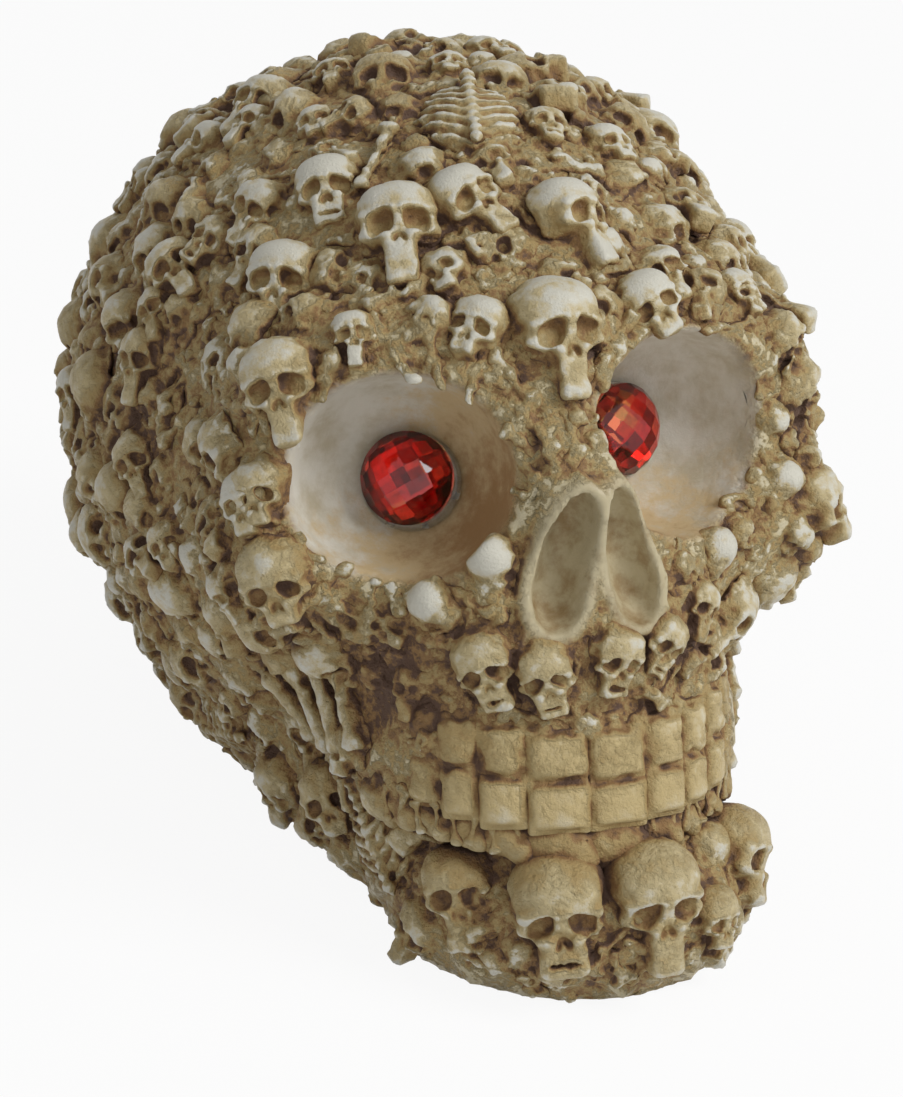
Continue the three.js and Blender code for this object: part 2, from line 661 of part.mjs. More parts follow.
function stoneFrame(stoneShare, socket) {
  const half = new THREE.Vector3(SOCKET_WIDTH, SOCKET_DEPTH, SOCKET_HEIGHT).multiplyScalar(0.5);
  const seat = placeOf(stoneShare);
  const normal = seat.clone().sub(socket).divide(half).divide(half).normalize().negate();
  const across = new THREE.Vector3(0, 0, 1).cross(normal).normalize();
  const up = normal.clone().cross(across);
  const rim = Array.from({ length: RIM_CORNERS }, (_, corner) => {
    const angle = (corner * 2 * Math.PI) / RIM_CORNERS;
    const offset = across.clone().multiplyScalar(Math.cos(angle)).addScaledVector(up, Math.sin(angle));
    return offset.multiplyScalar(STONE_DIAMETER / 2);
  });
  const isClear = (offset) => massDistance(seat.clone().add(offset), socket, half) < -2 * SEAT_GAP;
  while (!rim.every(isClear)) {
    seat.addScaledVector(normal, SEAT_GAP / 4);
  }
  seat.addScaledVector(normal, STONE_STAND_OFF);
  return new THREE.Matrix4().makeBasis(across, up, normal).setPosition(seat);
}

function disc(diameter, thickness, from) {
  const geometry = new THREE.CylinderGeometry(diameter / 2, diameter / 2, thickness, STONE_SIDES);
  geometry.rotateX(Math.PI / 2);
  geometry.translate(0, 0, from + thickness / 2);
  return toSolid(geometry);
}

// The stone's dome is ground to rings of flats round a flat top
const FACET_RINGS = [
  { count: 4, tilt: 16, turnShare: 0.5 },
  { count: 8, tilt: 30, turnShare: 0 },
  { count: 12, tilt: 46, turnShare: 0.5 },
];
const GRIND_SHARE = 0.9976;

function stoneSolid() {
  const back = FOIL_THICKNESS + SEAT_GAP;
  const capHeight = STONE_HEIGHT - STONE_GIRDLE;
  const radius = STONE_DIAMETER / 2;
  const domeRadius = (radius ** 2 + capHeight ** 2) / (2 * capHeight);
  const domeMiddle = back + STONE_HEIGHT - domeRadius;
  let stone = disc(STONE_DIAMETER, STONE_HEIGHT, back);
  for (const ring of FACET_RINGS) {
    for (let facet = 0; facet < ring.count; facet += 1) {
      const wheel = new THREE.BoxGeometry(STONE_DIAMETER * 2, STONE_DIAMETER * 2, STONE_DIAMETER);
      wheel.translate(0, 0, GRIND_SHARE * domeRadius + STONE_DIAMETER / 2);
      wheel.rotateY(degToRad(ring.tilt));
      wheel.rotateZ(((ring.turnShare + facet) / ring.count) * 2 * Math.PI);
      wheel.translate(0, 0, domeMiddle);
      stone = stone.subtract(toSolid(wheel));
    }
  }
  return stone;
}

// Materials
const ivoryResin = new THREE.MeshStandardMaterial({ color: 0xd8c79c, roughness: 0.5 });
const paleResin = new THREE.MeshStandardMaterial({ color: 0xe6dcc0, roughness: 0.45 });
const toothResin = new THREE.MeshStandardMaterial({ color: 0xddd0a8, roughness: 0.4 });
const redAcrylic = new THREE.MeshStandardMaterial({ color: 0xc41e1a, roughness: 0.05 });
const mirrorFoil = new THREE.MeshStandardMaterial({ color: 0xc9c4bc, roughness: 0.15, metalness: 1 });
const clearGlue = new THREE.MeshStandardMaterial({ color: 0xd9dcd6, roughness: 0.2 });

function addPiece(name, solid, material) {
  const mesh = new THREE.Mesh(toGeometry(solid), material);
  mesh.name = name;
  head.add(mesh);
}

const ground = groundSolid();

const shell = skinSolid(0)
  .subtract(socketSolid(SOCKETS.right, 0))
  .subtract(socketSolid(SOCKETS.left, 0))
  .subtract(nosePits())
  .subtract(hollowSolid())
  .subtract(neckSolid())
  .subtract(ground);
addPiece("skull_shell", mainBody(shell), ivoryResin);

// Whatever is seated on the skull is cut to it, and to what is seated before it
const seat = skinSolid(SEAT_GAP).add(ground);
const taken = [];

function addSeated(name, solid, size, place, material) {
  const placed = moved(solid, place);
  const fitted = taken.reduce((rest, other) => rest.subtract(other), placed.subtract(seat));
  addPiece(name, mainBody(fitted), material);
  taken.push(moved(grown(solid, size), place));
}

const UNMOVED = new THREE.Matrix4();
addSeated("upper_teeth", toothRow(UPPER_TOOTH_HEIGHT, true), CRANIUM_WIDTH, UNMOVED, toothResin);
addSeated("lower_teeth", toothRow(LOWER_TOOTH_HEIGHT, false), CRANIUM_WIDTH, UNMOVED, toothResin);

for (const [name, longitude, latitude, widthShare, turn, look, nod] of SMALL_SKULL_SHARES) {
  const width = widthShare * SMALL_SKULL_WIDTH;
  const seating = perch(longitude, latitude).multiply(lifted(-SINK_SHARE * width));
  const place = seating.multiply(turned(turn, look, nod));
  addSeated(`small_skull_${name}`, smallSkull(width), width, place, paleResin);
}

for (const [name, longitude, latitude, turn, lengthShare] of BONE_SHARES) {
  const lift = lifted(BONE_LIFT_SHARE * BONE_THICKNESS);
  const place = perch(longitude, latitude).multiply(lift).multiply(turned(turn, 0, 0));
  const bone = longBone(lengthShare * BONE_LENGTH, BONE_THICKNESS, BONE_SIDES);
  addSeated(name, bone, BONE_THICKNESS, place, paleResin);
}

for (const [name, longitude, latitude, turn] of RIB_CAGES) {
  const lift = lifted(BONE_LIFT_SHARE * RIB_THICKNESS);
  const place = perch(longitude, latitude).multiply(lift).multiply(turned(turn, 0, 0));
  addSeated(name, ribCage(), SPINE_THICKNESS, place, paleResin);
}

for (const [side, stoneShare] of [["right", STONE_RIGHT_SHARE], ["left", STONE_LEFT_SHARE]]) {
  const matrix = stoneFrame(stoneShare, SOCKETS[side]);
  const bowl = socketSolid(SOCKETS[side], -2 * SEAT_GAP);
  const glue = moved(disc(GLUE_DIAMETER, STONE_DIAMETER, -STONE_DIAMETER - SEAT_GAP), matrix);
  addPiece(`eye_stone_${side}`, moved(stoneSolid(), matrix), redAcrylic);
  addPiece(`mirror_foil_${side}`, moved(disc(STONE_DIAMETER, FOIL_THICKNESS, 0), matrix), mirrorFoil);
  addPiece(`glue_bed_${side}`, mainBody(glue.intersect(bowl)), clearGlue);
}

const part = new THREE.Group();
part.add(head);

export default part;
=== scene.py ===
import math

import bmesh
import bpy
import numpy as np
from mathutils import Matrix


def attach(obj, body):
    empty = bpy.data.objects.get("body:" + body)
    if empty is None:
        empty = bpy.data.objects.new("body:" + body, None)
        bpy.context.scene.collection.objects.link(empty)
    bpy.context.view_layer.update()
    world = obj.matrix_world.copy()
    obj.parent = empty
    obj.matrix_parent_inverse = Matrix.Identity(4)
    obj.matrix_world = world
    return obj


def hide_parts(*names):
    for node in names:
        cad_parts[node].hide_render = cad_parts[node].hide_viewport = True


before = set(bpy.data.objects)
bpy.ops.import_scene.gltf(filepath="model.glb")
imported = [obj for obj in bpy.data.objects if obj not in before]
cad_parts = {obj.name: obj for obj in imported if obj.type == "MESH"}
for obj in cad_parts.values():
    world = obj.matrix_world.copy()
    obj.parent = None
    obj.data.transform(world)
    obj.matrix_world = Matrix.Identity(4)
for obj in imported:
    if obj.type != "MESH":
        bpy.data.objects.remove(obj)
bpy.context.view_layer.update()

import openvdb
from mathutils import Matrix, Vector

# A skull ornament of cold-cast resin, covered in small skulls and bones, with a faceted red stone in each
# socket. All lengths are in metres. The skull is shaped upright and then laid back as the ornament lies.
MM = 0.001

# How the skull lies: its lean and the place of its upright frame's origin
LEAN_BACK = math.radians(17)
HEAD_PLACE = (0, 46 * MM, 65.91 * MM)

# The brain case, whose sizes the other masses of the bare skull follow
HEAD_SIZE = np.array([136, 172, 146]) * MM
HEAD_HALF = HEAD_SIZE / 2

# Rounded masses of the bare skull: middle in shares of half the brain case, size in shares of it, and blend
SOFT_BLEND = 14 * MM
TIGHT_BLEND = 10 * MM
MASS_SHARES = {
    "cranium": ([0, 0.06, 0.14], [1, 1, 1], SOFT_BLEND),
    "head_base": ([0, 0.14, -0.52], [0.647, 0.512, 0.466], SOFT_BLEND),
    "brow": ([0, -0.7, 0.37], [0.735, 0.267, 0.178], SOFT_BLEND),
    "midface": ([0, -0.675, -0.245], [0.515, 0.395, 0.466], SOFT_BLEND),
    "tooth_arch": ([0.02, -0.64, -0.63], [0.537, 0.407, 0.274], TIGHT_BLEND),
    "chin": ([0.09, -0.72, -1.08], [0.456, 0.349, 0.26], TIGHT_BLEND),
    "under_jaw": ([0.06, -0.4, -0.96], [0.368, 0.512, 0.205], TIGHT_BLEND),
}

# Rounded bars of the bare skull, whose thicknesses are shares of the brain case's width
BAR_SHARES = {
    "cheek_rim_left": ([0.66, -0.675, -0.08], [0.68, -0.675, 0.27], [0.162, 0.118]),
    "cheek_arch_left": ([0.66, -0.675, -0.08], [0.82, -0.23, -0.11], [0.162, 0.118]),
    "cheek_rim_right": ([-0.66, -0.675, -0.08], [-0.68, -0.675, 0.27], [0.162, 0.118]),
    "cheek_arch_right": ([-0.66, -0.675, -0.08], [-0.82, -0.23, -0.11], [0.162, 0.118]),
    "nose_bridge": ([-0.09, -0.92, 0.27], [-0.02, -1.05, 0.06], [0.088, 0.088]),
    "jaw_right": ([-0.16, -0.68, -1.05], [-0.4, -0.19, -0.79], [0.191, 0.169]),
    "jaw_left": ([0.2, -0.7, -1.07], [0.44, -0.19, -0.77], [0.191, 0.169]),
}
FORM_ORDER = [
    "cranium", "head_base", "brow",
    "cheek_rim_left", "cheek_arch_left", "cheek_rim_right", "cheek_arch_right",
    "midface", "nose_bridge", "tooth_arch", "chin", "jaw_right", "jaw_left", "under_jaw",
]
PASTE_THICKNESS = 2.8 * MM

# The hollow, the neck, the sockets and the nose
WALL = 7 * MM
NECK_HALF = np.array([20, 17]) * MM
NECK_BACK = 12 * MM
NECK_BLEND = 1.5 * MM
SOCKET_HALF = np.array([21, 24, 19.5]) * MM
SOCKET_SHARES = {"right": [-0.485, -0.953, 0.118], "left": [0.345, -0.953, 0.18]}
NOSE_PIT_HALF = np.array([5, 10, 13.8]) * MM
NOSE_PIT_SPACING = 13 * MM
NOSE_PIT_SHARE = [0.016, -1.13, -0.1]
NOSE_PIT_SPLAY = math.radians(14)
NOSE_LOBE_HALF = np.array([4.4, 9.5, 7]) * MM
NOSE_LOBE_DROP = 6 * MM
NOSE_LOBE_BLEND = 3 * MM
NOSE_RIM = {"outside": 0.8 * MM, "lift": 0.2 * MM, "radius": 1.1 * MM}

# The stones, their foils and the glue
STONE_DIAMETER = 18 * MM
STONE_HEIGHT = 6.5 * MM
STONE_SIDES = 72
GIRDLE = 1.4 * MM
FACET_PITCH = math.radians(17)
FACET_TURN = math.radians(38)
FACET_RANGE = 5
FOIL_THICKNESS = 0.4 * MM
CONTACT_GAP = 0.05 * MM
SEAT_DROP = 0.1 * MM
GLUE_HALF = np.array([9.9, 9.6, 3.2]) * MM
GLUE_PLACE = np.array([0.3, -0.5, -1.4]) * MM
GLUE_DEPTH = 8 * MM
GLUE_BLEND = 0.2 * MM
GLUE_MARGIN = 1 * MM

# Teeth, from the middle of the arch to its side
FRONT_TOOTH_WIDTH = 11.6 * MM
TOOTH_WIDTH_SHARES = [1, 0.78, 0.66, 0.67, 0.72]
TOOTH_HEIGHT = {"upper": 8.8 * MM, "lower": 8.6 * MM}
TOOTH_DEPTH = 7 * MM
TOOTH_STAND_OUT = 1.6 * MM
TOOTH_FADE = 3.4 * MM
TOOTH_PARTING = 0.1 * MM
TOOTH_BELLY = 0.9 * MM
TOOTH_FILLET = 1.6 * MM
TOOTH_MARGIN = 2.5 * MM
TOOTH_FRONT_MARGIN = 1.5 * MM
BITE_MARGIN = 1 * MM
TOOTH_BOX_SHARE = 0.62
TOOTH_UNEVEN = (0.3 * MM, 0.3 * MM, 0.04)
CROWN_ROUNDING = 1.6 * MM
GROOVE_DEPTH = 0.9 * MM
GROOVE_MARGIN = 0.3 * MM
GROOVE_BLEND = 0.8 * MM
GUM_WIDTH_SHARE = 1.3
GUM_DROP = 3.6 * MM
GUM_DEPTH = 3.4 * MM
STUB_DROP = 3.2 * MM
STUB_DEPTH = 0.8 * MM
STUB_LENGTH = 7 * MM
STUB_SHARES = [-0.25, 0.27]
STUB_LEAN = 90
STUB_LEAN_RANGE = 20
MIDLINE_SHIFT = -3 * MM
BITE_GAP = 0.9 * MM
MOUTH_LINE_SHARE = -0.68
SMILE_RISE = 7 * MM
SMILE_POWER = 1.5
SMILE_REACH = 34 * MM
MOUTH_BAND_HALF = 9.5 * MM
MOUTH_BAND_DEPTH = 8 * MM

# The relief
SMALL_SKULL_WIDTH = 18 * MM
SINK_SHARE = 0.02
BONE_LENGTH = 30 * MM
BONE_THICKNESS = 5 * MM
BONE_LIFT_SHARE = 0.3
RIB_CAGE_LENGTH = 24 * MM
RIB_THICKNESS = 2.4 * MM
FILLET = 2.2 * MM
MARGIN_SHARE = 0.6
BED_DROP = 0.5 * MM
BED_DEPTH = 1.6 * MM
HOLE_MARGIN = 0.8 * MM
HOLE_BLEND = 2 * MM
SOCKET_INSIDE = 1.2 * MM
NOSE_OUTSIDE = 0.5 * MM
EDGE_BLEND = 1 * MM

# Fineness of the meshes
SHELL_VOXEL = 0.95 * MM
PIECE_VOXEL = 0.4 * MM
FILL_VOXEL = 0.6 * MM
HIDDEN_VOXEL = 0.8 * MM
GLUE_VOXEL = PIECE_VOXEL * 0.8
MERGING = 0.03
BED_STEP = 2.4 * MM
CELL = 1.2 * MM
SHELL_TRIANGLES = 190_000

CORE = np.array([0, -0.23, -0.2]) * HEAD_HALF
SPAN = HEAD_SIZE[1]
TINY = 1e-9


# Signed distances. A point is three arrays, one for each axis, that fit together
def length_of(*parts):
    return np.sqrt(sum(part * part for part in parts))


def flow(a, b, blend):
    share = np.clip(0.5 + 0.5 * (b - a) / blend, 0, 1)
    return b + (a - b) * share - blend * share * (1 - share)


def without(a, b, blend):
    return -flow(-a, b, blend)


def mass(point, middle, half):
    scaled = [(axis - m) / h for axis, m, h in zip(point, middle, half)]
    level = length_of(*scaled)
    steepness = length_of(*(s / h for s, h in zip(scaled, half)))
    return level * (level - 1) / np.maximum(steepness, TINY)


def bar(point, start, end, start_radius, end_radius):
    start, end = np.asarray(start, float), np.asarray(end, float)
    along = end - start
    offsets = [axis - s for axis, s in zip(point, start)]
    reach = sum(o * a for o, a in zip(offsets, along)) / (along @ along)
    share = np.clip(reach, 0, 1)
    rest = [o - a * share for o, a in zip(offsets, along)]
    return length_of(*rest) - (start_radius + (end_radius - start_radius) * share)


def block(point, middle, half, rounding):
    over = [np.abs(axis - m) - (h - rounding) for axis, m, h in zip(point, middle, half)]
    outside = length_of(*(np.maximum(o, 0) for o in over))
    inside = np.minimum(np.maximum(np.maximum(over[0], over[1]), over[2]), 0)
    return outside + inside - rounding


def mirrored(point):
    x, y, z = point
    return (np.abs(x), y, z)


def notches(place, pitch):
    """Waves from 0 to 1 along a row of teeth or ribs."""
    return 0.5 - 0.5 * np.cos(place * (2 * math.pi / pitch))


def turned_about_y(point, angle):
    x, y, z = point
    return (x * math.cos(angle) - z * math.sin(angle), y, x * math.sin(angle) + z * math.cos(angle))


# The bare skull's form
def form_distance(point):
    total = SPAN
    for name in FORM_ORDER:
        if name in MASS_SHARES:
            place, size, blend = MASS_SHARES[name]
            distance = mass(point, np.array(place) * HEAD_HALF, np.array(size) * HEAD_HALF)
        else:
            start, end, thickness = BAR_SHARES[name]
            radii = np.array(thickness) * HEAD_SIZE[0] / 2
            distance = bar(point, np.array(start) * HEAD_HALF, np.array(end) * HEAD_HALF, *radii)
            blend = TIGHT_BLEND
        total = flow(total, distance, blend)
    return total


SOCKET_PLACES = {side: np.array(share) * HEAD_HALF for side, share in SOCKET_SHARES.items()}


def sockets_distance(point):
    right, left = (mass(point, SOCKET_PLACES[side], SOCKET_HALF) for side in ("right", "left"))
    return np.minimum(right, left)


def nose_distance(point):
    middle = np.array(NOSE_PIT_SHARE) * HEAD_HALF
    pits = []
    for side in (-1, 1):
        place = middle + np.array([side * NOSE_PIT_SPACING / 2, 0, 0])
        offset = turned_about_y([axis - p for axis, p in zip(point, place)], -side * NOSE_PIT_SPLAY)
        pit = mass(offset, (0, 0, 0), NOSE_PIT_HALF)
        pits.append(flow(pit, mass(offset, (0, 0, -NOSE_LOBE_DROP), NOSE_LOBE_HALF), NOSE_LOBE_BLEND))
    return np.minimum(*pits)


def nose_rim_distance(form, nose):
    """A round rim that follows the nose's outline, and a thin one between its pits."""
    outside = nose - NOSE_RIM["outside"]
    above = form - PASTE_THICKNESS - NOSE_RIM["lift"]
    return length_of(outside, above) - NOSE_RIM["radius"]


# The laid-back frame
HEAD_MATRIX = np.array(Matrix.Translation(HEAD_PLACE) @ Matrix.Rotation(-LEAN_BACK, 4, "X"))


def moved(points, matrix):
    return points @ matrix[:3, :3].T + matrix[:3, 3]


def columns(points):
    return (points[..., 0], points[..., 1], points[..., 2])


def frame_of(across, upward, outward, place):
    built = np.eye(4)
    built[:3] = np.stack([across, upward, outward, place], axis=1)
    return built


def placed(name, data):
    """A new object in the scene."""
    thing = bpy.data.objects.new(name, data)
    bpy.context.scene.collection.objects.link(thing)
    return thing


# Noise that is the same each run
def scatter(cells, seed):
    x, y, z = (c.astype(np.int64) for c in cells)
    mixed = (x * 374761393 + y * 668265263 + z * 2147483647 + seed * 1274126177) & 0xFFFFFFFF
    mixed = ((mixed ^ (mixed >> 13)) * 1274126177) & 0xFFFFFFFF
    mixed = ((mixed ^ (mixed >> 16)) * 2246822519) & 0xFFFFFFFF
    return (mixed ^ (mixed >> 15)) / 0xFFFFFFFF


def cell_corners(share):
    """The eight corners of a cell, each with its weight at a place inside."""
    for corner in np.ndindex(2, 2, 2):
        yield corner, np.prod(np.where(corner, share, 1 - share), axis=1)


def swell(points, pitch, seed):
    """Smooth noise between -1 and 1."""
    at = points / pitch
    low = np.floor(at)
    share = at - low
    share = share * share * (3 - 2 * share)
    total = np.zeros(len(points))
    for corner, weight in cell_corners(share):
        total += weight * scatter((low + corner).T, seed)
    return 2 * total - 1


def pebbles(points, pitch, seed):
    """Distance to the nearest strewn point, as a share of the pitch."""
    at = points / pitch
    low = np.floor(at)
    best = np.full(len(points), 4.0)
    for corner in np.ndindex(3, 3, 3):
        cell = low + corner - 1
        place = cell + np.stack([scatter(cell.T, seed + k) for k in range(3)], axis=1)
        best = np.minimum(best, ((at - place) ** 2).sum(axis=1))
    return np.sqrt(best)


# Places on the skin, found by strides along rays
STRIDES = 40
STRIDE_SHARE = 0.8


def inward_hits(starts, directions):
    """Where rays from outside come as near to the form as the paste is thick, or pass it nearest."""
    reach = np.zeros(len(starts))
    nearest = np.full(len(starts), SPAN)
    best = reach
    for _ in range(STRIDES):
        gap = form_distance(columns(starts + directions * reach[:, None])) - PASTE_THICKNESS
        best = np.where(gap < nearest, reach, best)
        nearest = np.minimum(gap, nearest)
        reach = reach + STRIDE_SHARE * gap
    return starts + directions * best[:, None]


def unit(vectors):
    return vectors / np.maximum(np.linalg.norm(vectors, axis=-1, keepdims=True), TINY)


CROWN_WAY = np.array([0, 0.35, 1])


def perches(points):
    """A frame at each point of the skin: Z outwards, Y towards the crown."""
    step = PASTE_THICKNESS / 2
    slopes = []
    for axis in np.eye(3) * step:
        slopes.append(form_distance(columns(points + axis)) - form_distance(columns(points - axis)))
    outward = unit(np.stack(slopes, axis=1))
    points = points - outward * (form_distance(columns(points)) - PASTE_THICKNESS)[:, None]
    upward = unit(CROWN_WAY - outward * (outward @ CROWN_WAY)[:, None])
    sideways = np.cross(upward, outward)
    frames = np.tile(np.eye(4), (len(points), 1, 1))
    frames[:, :3, :3] = np.stack([sideways, upward, outward], axis=2)
    frames[:, :3, 3] = points
    return frames


def perches_on_globe(longitudes, latitudes):
    """The same for places on a globe that is stretched to the brain case."""
    lon, lat = np.radians(longitudes), np.radians(latitudes)
    globe = np.stack([np.sin(lon) * np.cos(lat), -np.cos(lon) * np.cos(lat), np.sin(lat)], axis=1)
    directions = unit(globe * HEAD_SIZE)
    return perches(inward_hits(CORE + directions * SPAN, -directions))


def turned(turn=0, look=0, nod=0):
    """A turn in the skin, a look to the side and a nod, in degrees."""
    turning = Matrix.Rotation(math.radians(turn), 4, "Z")
    looking = Matrix.Rotation(math.radians(look), 4, "Y")
    nodding = Matrix.Rotation(math.radians(nod), 4, "X")
    return np.array(turning @ looking @ nodding)


def shifted(x, y, z):
    return np.array(Matrix.Translation((x, y, z)))


def lifted(height):
    return shifted(0, 0, height)


# The camera, and the rays through the photograph's pixels
PHOTO_SIZE = (903, 1097)
FOCAL_PIXELS = 3809.5
CAMERA_DISTANCE = 0.8
CAMERA_AZIMUTH = math.radians(-18.43)
CAMERA_ELEVATION = math.radians(8.54)
CAMERA_ROLL = math.radians(-2.31)
AIM = np.array([4.04, 0, -17.88]) * MM
SENSOR_SIZE = 36
SIGHT_LENGTH = 20


def camera_axes():
    back = np.array([
        math.sin(CAMERA_AZIMUTH) * math.cos(CAMERA_ELEVATION),
        -math.cos(CAMERA_AZIMUTH) * math.cos(CAMERA_ELEVATION),
        math.sin(CAMERA_ELEVATION),
    ])
    level = unit(np.cross(np.array([0, 0, 1.0]), back))
    upward = np.cross(back, level)
    right = math.cos(CAMERA_ROLL) * level + math.sin(CAMERA_ROLL) * upward
    return right, np.cross(back, right), back


def perches_in_photo(pixels):
    """A frame on the skin under each pixel of the photograph."""
    right, upward, back = camera_axes()
    eye = AIM + back * CAMERA_DISTANCE
    across = (pixels[:, 0] - PHOTO_SIZE[0] / 2) / FOCAL_PIXELS
    above = (PHOTO_SIZE[1] / 2 - pixels[:, 1]) / FOCAL_PIXELS
    directions = unit(across[:, None] * right + above[:, None] * upward - back)
    return perches(inward_hits(eye + directions * (CAMERA_DISTANCE - SPAN), directions))


def add_camera():
    right, upward, back = camera_axes()
    camera = placed("camera", bpy.data.cameras.new("camera"))
    camera.matrix_world = Matrix(HEAD_MATRIX @ frame_of(right, upward, back, AIM + back * CAMERA_DISTANCE))
    camera.data.sensor_width = SENSOR_SIZE
    camera.data.lens = FOCAL_PIXELS / PHOTO_SIZE[1] * SENSOR_SIZE
    camera.data.clip_end = SIGHT_LENGTH
    bpy.context.scene.camera = camera


add_camera()


# Relief shapes, one unit wide or long: X across, Y towards the crown, Z outwards
def small_skull(point, eye=1.0, jaw=1.0, muzzle=1.0, scowl=0.0):
    side = mirrored(point)
    x, y, z = side
    shape = mass(point, (0, 0.17, -0.06), (0.51, 0.43, 0.53))
    shape = flow(shape, block(point, (0, 0.08, 0), (0.45, 0.38, 0.4), 0.27), 0.08)
    brow_end = (0.39, 0.02 + 0.05 * scowl, 0.28)
    shape = flow(shape, bar(side, (0.05, 0.04, 0.43), brow_end, 0.05, 0.065), 0.05)
    shape = flow(shape, bar(side, (0.16, -0.27, 0.34), (0.4, -0.17, 0.18), 0.055, 0.07), 0.06)
    shape = without(shape, mass(side, (0.58, -0.03, 0.14), (0.13, 0.12, 0.16)), 0.06)
    reach = 0.3 * jaw
    jaw_half = (0.19 * muzzle, reach, 0.2)
    shape = flow(shape, block(point, (0, -0.24 - reach, 0.15), jaw_half, 0.08), 0.1)
    shape = without(shape, mass(side, (0.46, -0.5, 0.1), (0.22 - 0.02 * muzzle, 0.22, 0.3)), 0.06)
    slope = y + 0.11 + (0.25 - 0.2 * scowl) * (x - 0.22)
    hollow = block((x - 0.225, slope, z - 0.46), (0, 0, 0), (0.16 * eye, 0.135 * eye, 0.24), 0.11 * eye)
    shape = without(shape, hollow, 0.025)
    nostril = mass((x + 0.4 * (y + 0.3), y, z), (0.035, -0.31, 0.44), (0.05, 0.1, 0.16))
    return without(shape, nostril, 0.02)


def toothed_skull(point):
    """A small skull with a broad muzzle, a mouth and a row of teeth."""
    x, y, _ = point
    shape = small_skull(point, eye=0.95, jaw=0.82, muzzle=1.35, scowl=-0.6)
    mouth = mass(point, (0, -0.56, 0.4), (0.2, 0.022, 0.16))
    near_mouth = np.exp(-((y + 0.56) / 0.1) ** 2)
    return without(shape, mouth, 0.03) + 0.014 * notches(x, 0.085) ** 4 * near_mouth


def long_jawed_skull(point):
    return small_skull(point, eye=1.08, jaw=1.1, muzzle=0.98, scowl=0.6)


def round_eyed_skull(point):
    return small_skull(point, eye=1.05, jaw=1.0, muzzle=0.92, scowl=-0.4)


def worn_skull(point):
    return small_skull(point, eye=0.85, jaw=0.6, muzzle=1.1, scowl=0.2)


def dome(point):
    return mass(point, (0, 0, -0.1), (0.5, 0.44, 0.46))


def bead(point):
    shape = mass(point, (0, 0, 0.05), (0.5, 0.5, 0.5))
    return flow(shape, mass(point, (0, -0.45, -0.1), (0.32, 0.3, 0.3)), 0.15)


def long_bone(point, thickness=0.17):
    side = mirrored(point)
    knob = thickness / 2
    shape = bar(point, (-0.5 + knob, 0, 0), (0.5 - knob, 0, 0), 0.55 * knob, 0.55 * knob)
    flare = bar(side, (0.5 - 3 * knob, 0, 0), (0.5 - knob, 0, 0), 0.5 * knob, 0.85 * knob)
    shape = flow(shape, flare, 0.5 * knob)
    for above in (-1, 1):
        ball = mass(side, (0.5 - 0.8 * knob, above * 0.5 * knob, 0), (0.8 * knob, 0.7 * knob, 0.8 * knob))
        shape = flow(shape, ball, 0.35 * knob)
    return shape


def stout_bone(point):
    return long_bone(point, thickness=0.3)


def post(point):
    """A straight column with slightly wider ends."""
    shaft = bar(point, (-0.5, 0, 0.03), (0.5, 0, 0.03), 0.135, 0.135)
    return flow(shaft, mass(mirrored(point), (0.5, 0, 0.02), (0.12, 0.2, 0.17)), 0.12)


def rib_fan(point):
    """A spine with ribs that lie close together over a bulging chest."""
    x, y, _ = point
    chest = mass(point, (0, 0, -0.06), (0.5, 0.42, 0.22))
    between = notches(x - 0.55 * np.abs(y), 0.115)
    spine = bar(point, (-0.48, 0, 0.12), (0.48, 0, 0.12), 0.045, 0.06)
    return flow(chest + 0.045 * between ** 2, spine + 0.012 * np.cos(x * (2 * math.pi / 0.1)), 0.03)


def jaw_bone(point):
    """A lower jaw seen from the front, with its teeth."""
    side = mirrored(point)
    shape = bar(side, (0.05, -0.12, 0.12), (0.34, -0.02, 0.03), 0.12, 0.1)
    shape = flow(shape, bar(side, (0.36, -0.02, 0.03), (0.44, 0.24, -0.02), 0.09, 0.07), 0.06)
    teeth = block(side, (0, 0.02, 0.13), (0.28, 0.08, 0.05), 0.03) + 0.02 * notches(point[0], 0.11) ** 3
    return flow(shape, teeth, 0.03)


def vertebra(point):
    side = mirrored(point)
    shape = mass(point, (0, 0, 0), (0.3, 0.34, 0.3))
    shape = flow(shape, bar(side, (0.1, 0, 0.05), (0.46, 0.1, 0.02), 0.12, 0.06), 0.08)
    shape = flow(shape, bar(point, (0, 0, 0.1), (0, -0.25, 0.36), 0.1, 0.05), 0.08)
    return without(shape, mass(point, (0, 0.02, 0.36), (0.12, 0.12, 0.2)), 0.04)


def flake(point):
    return block(point, (0, 0, 0.02), (0.5, 0.24, 0.07), 0.06)


def lump(point):
    shape = mass(point, (0, 0, -0.06), (0.5, 0.38, 0.36))
    return flow(shape, mass(point, (0.22, -0.2, 0.05), (0.3, 0.26, 0.28)), 0.1)


SKULL_TOP = (0.6, 0.7, 0.62)

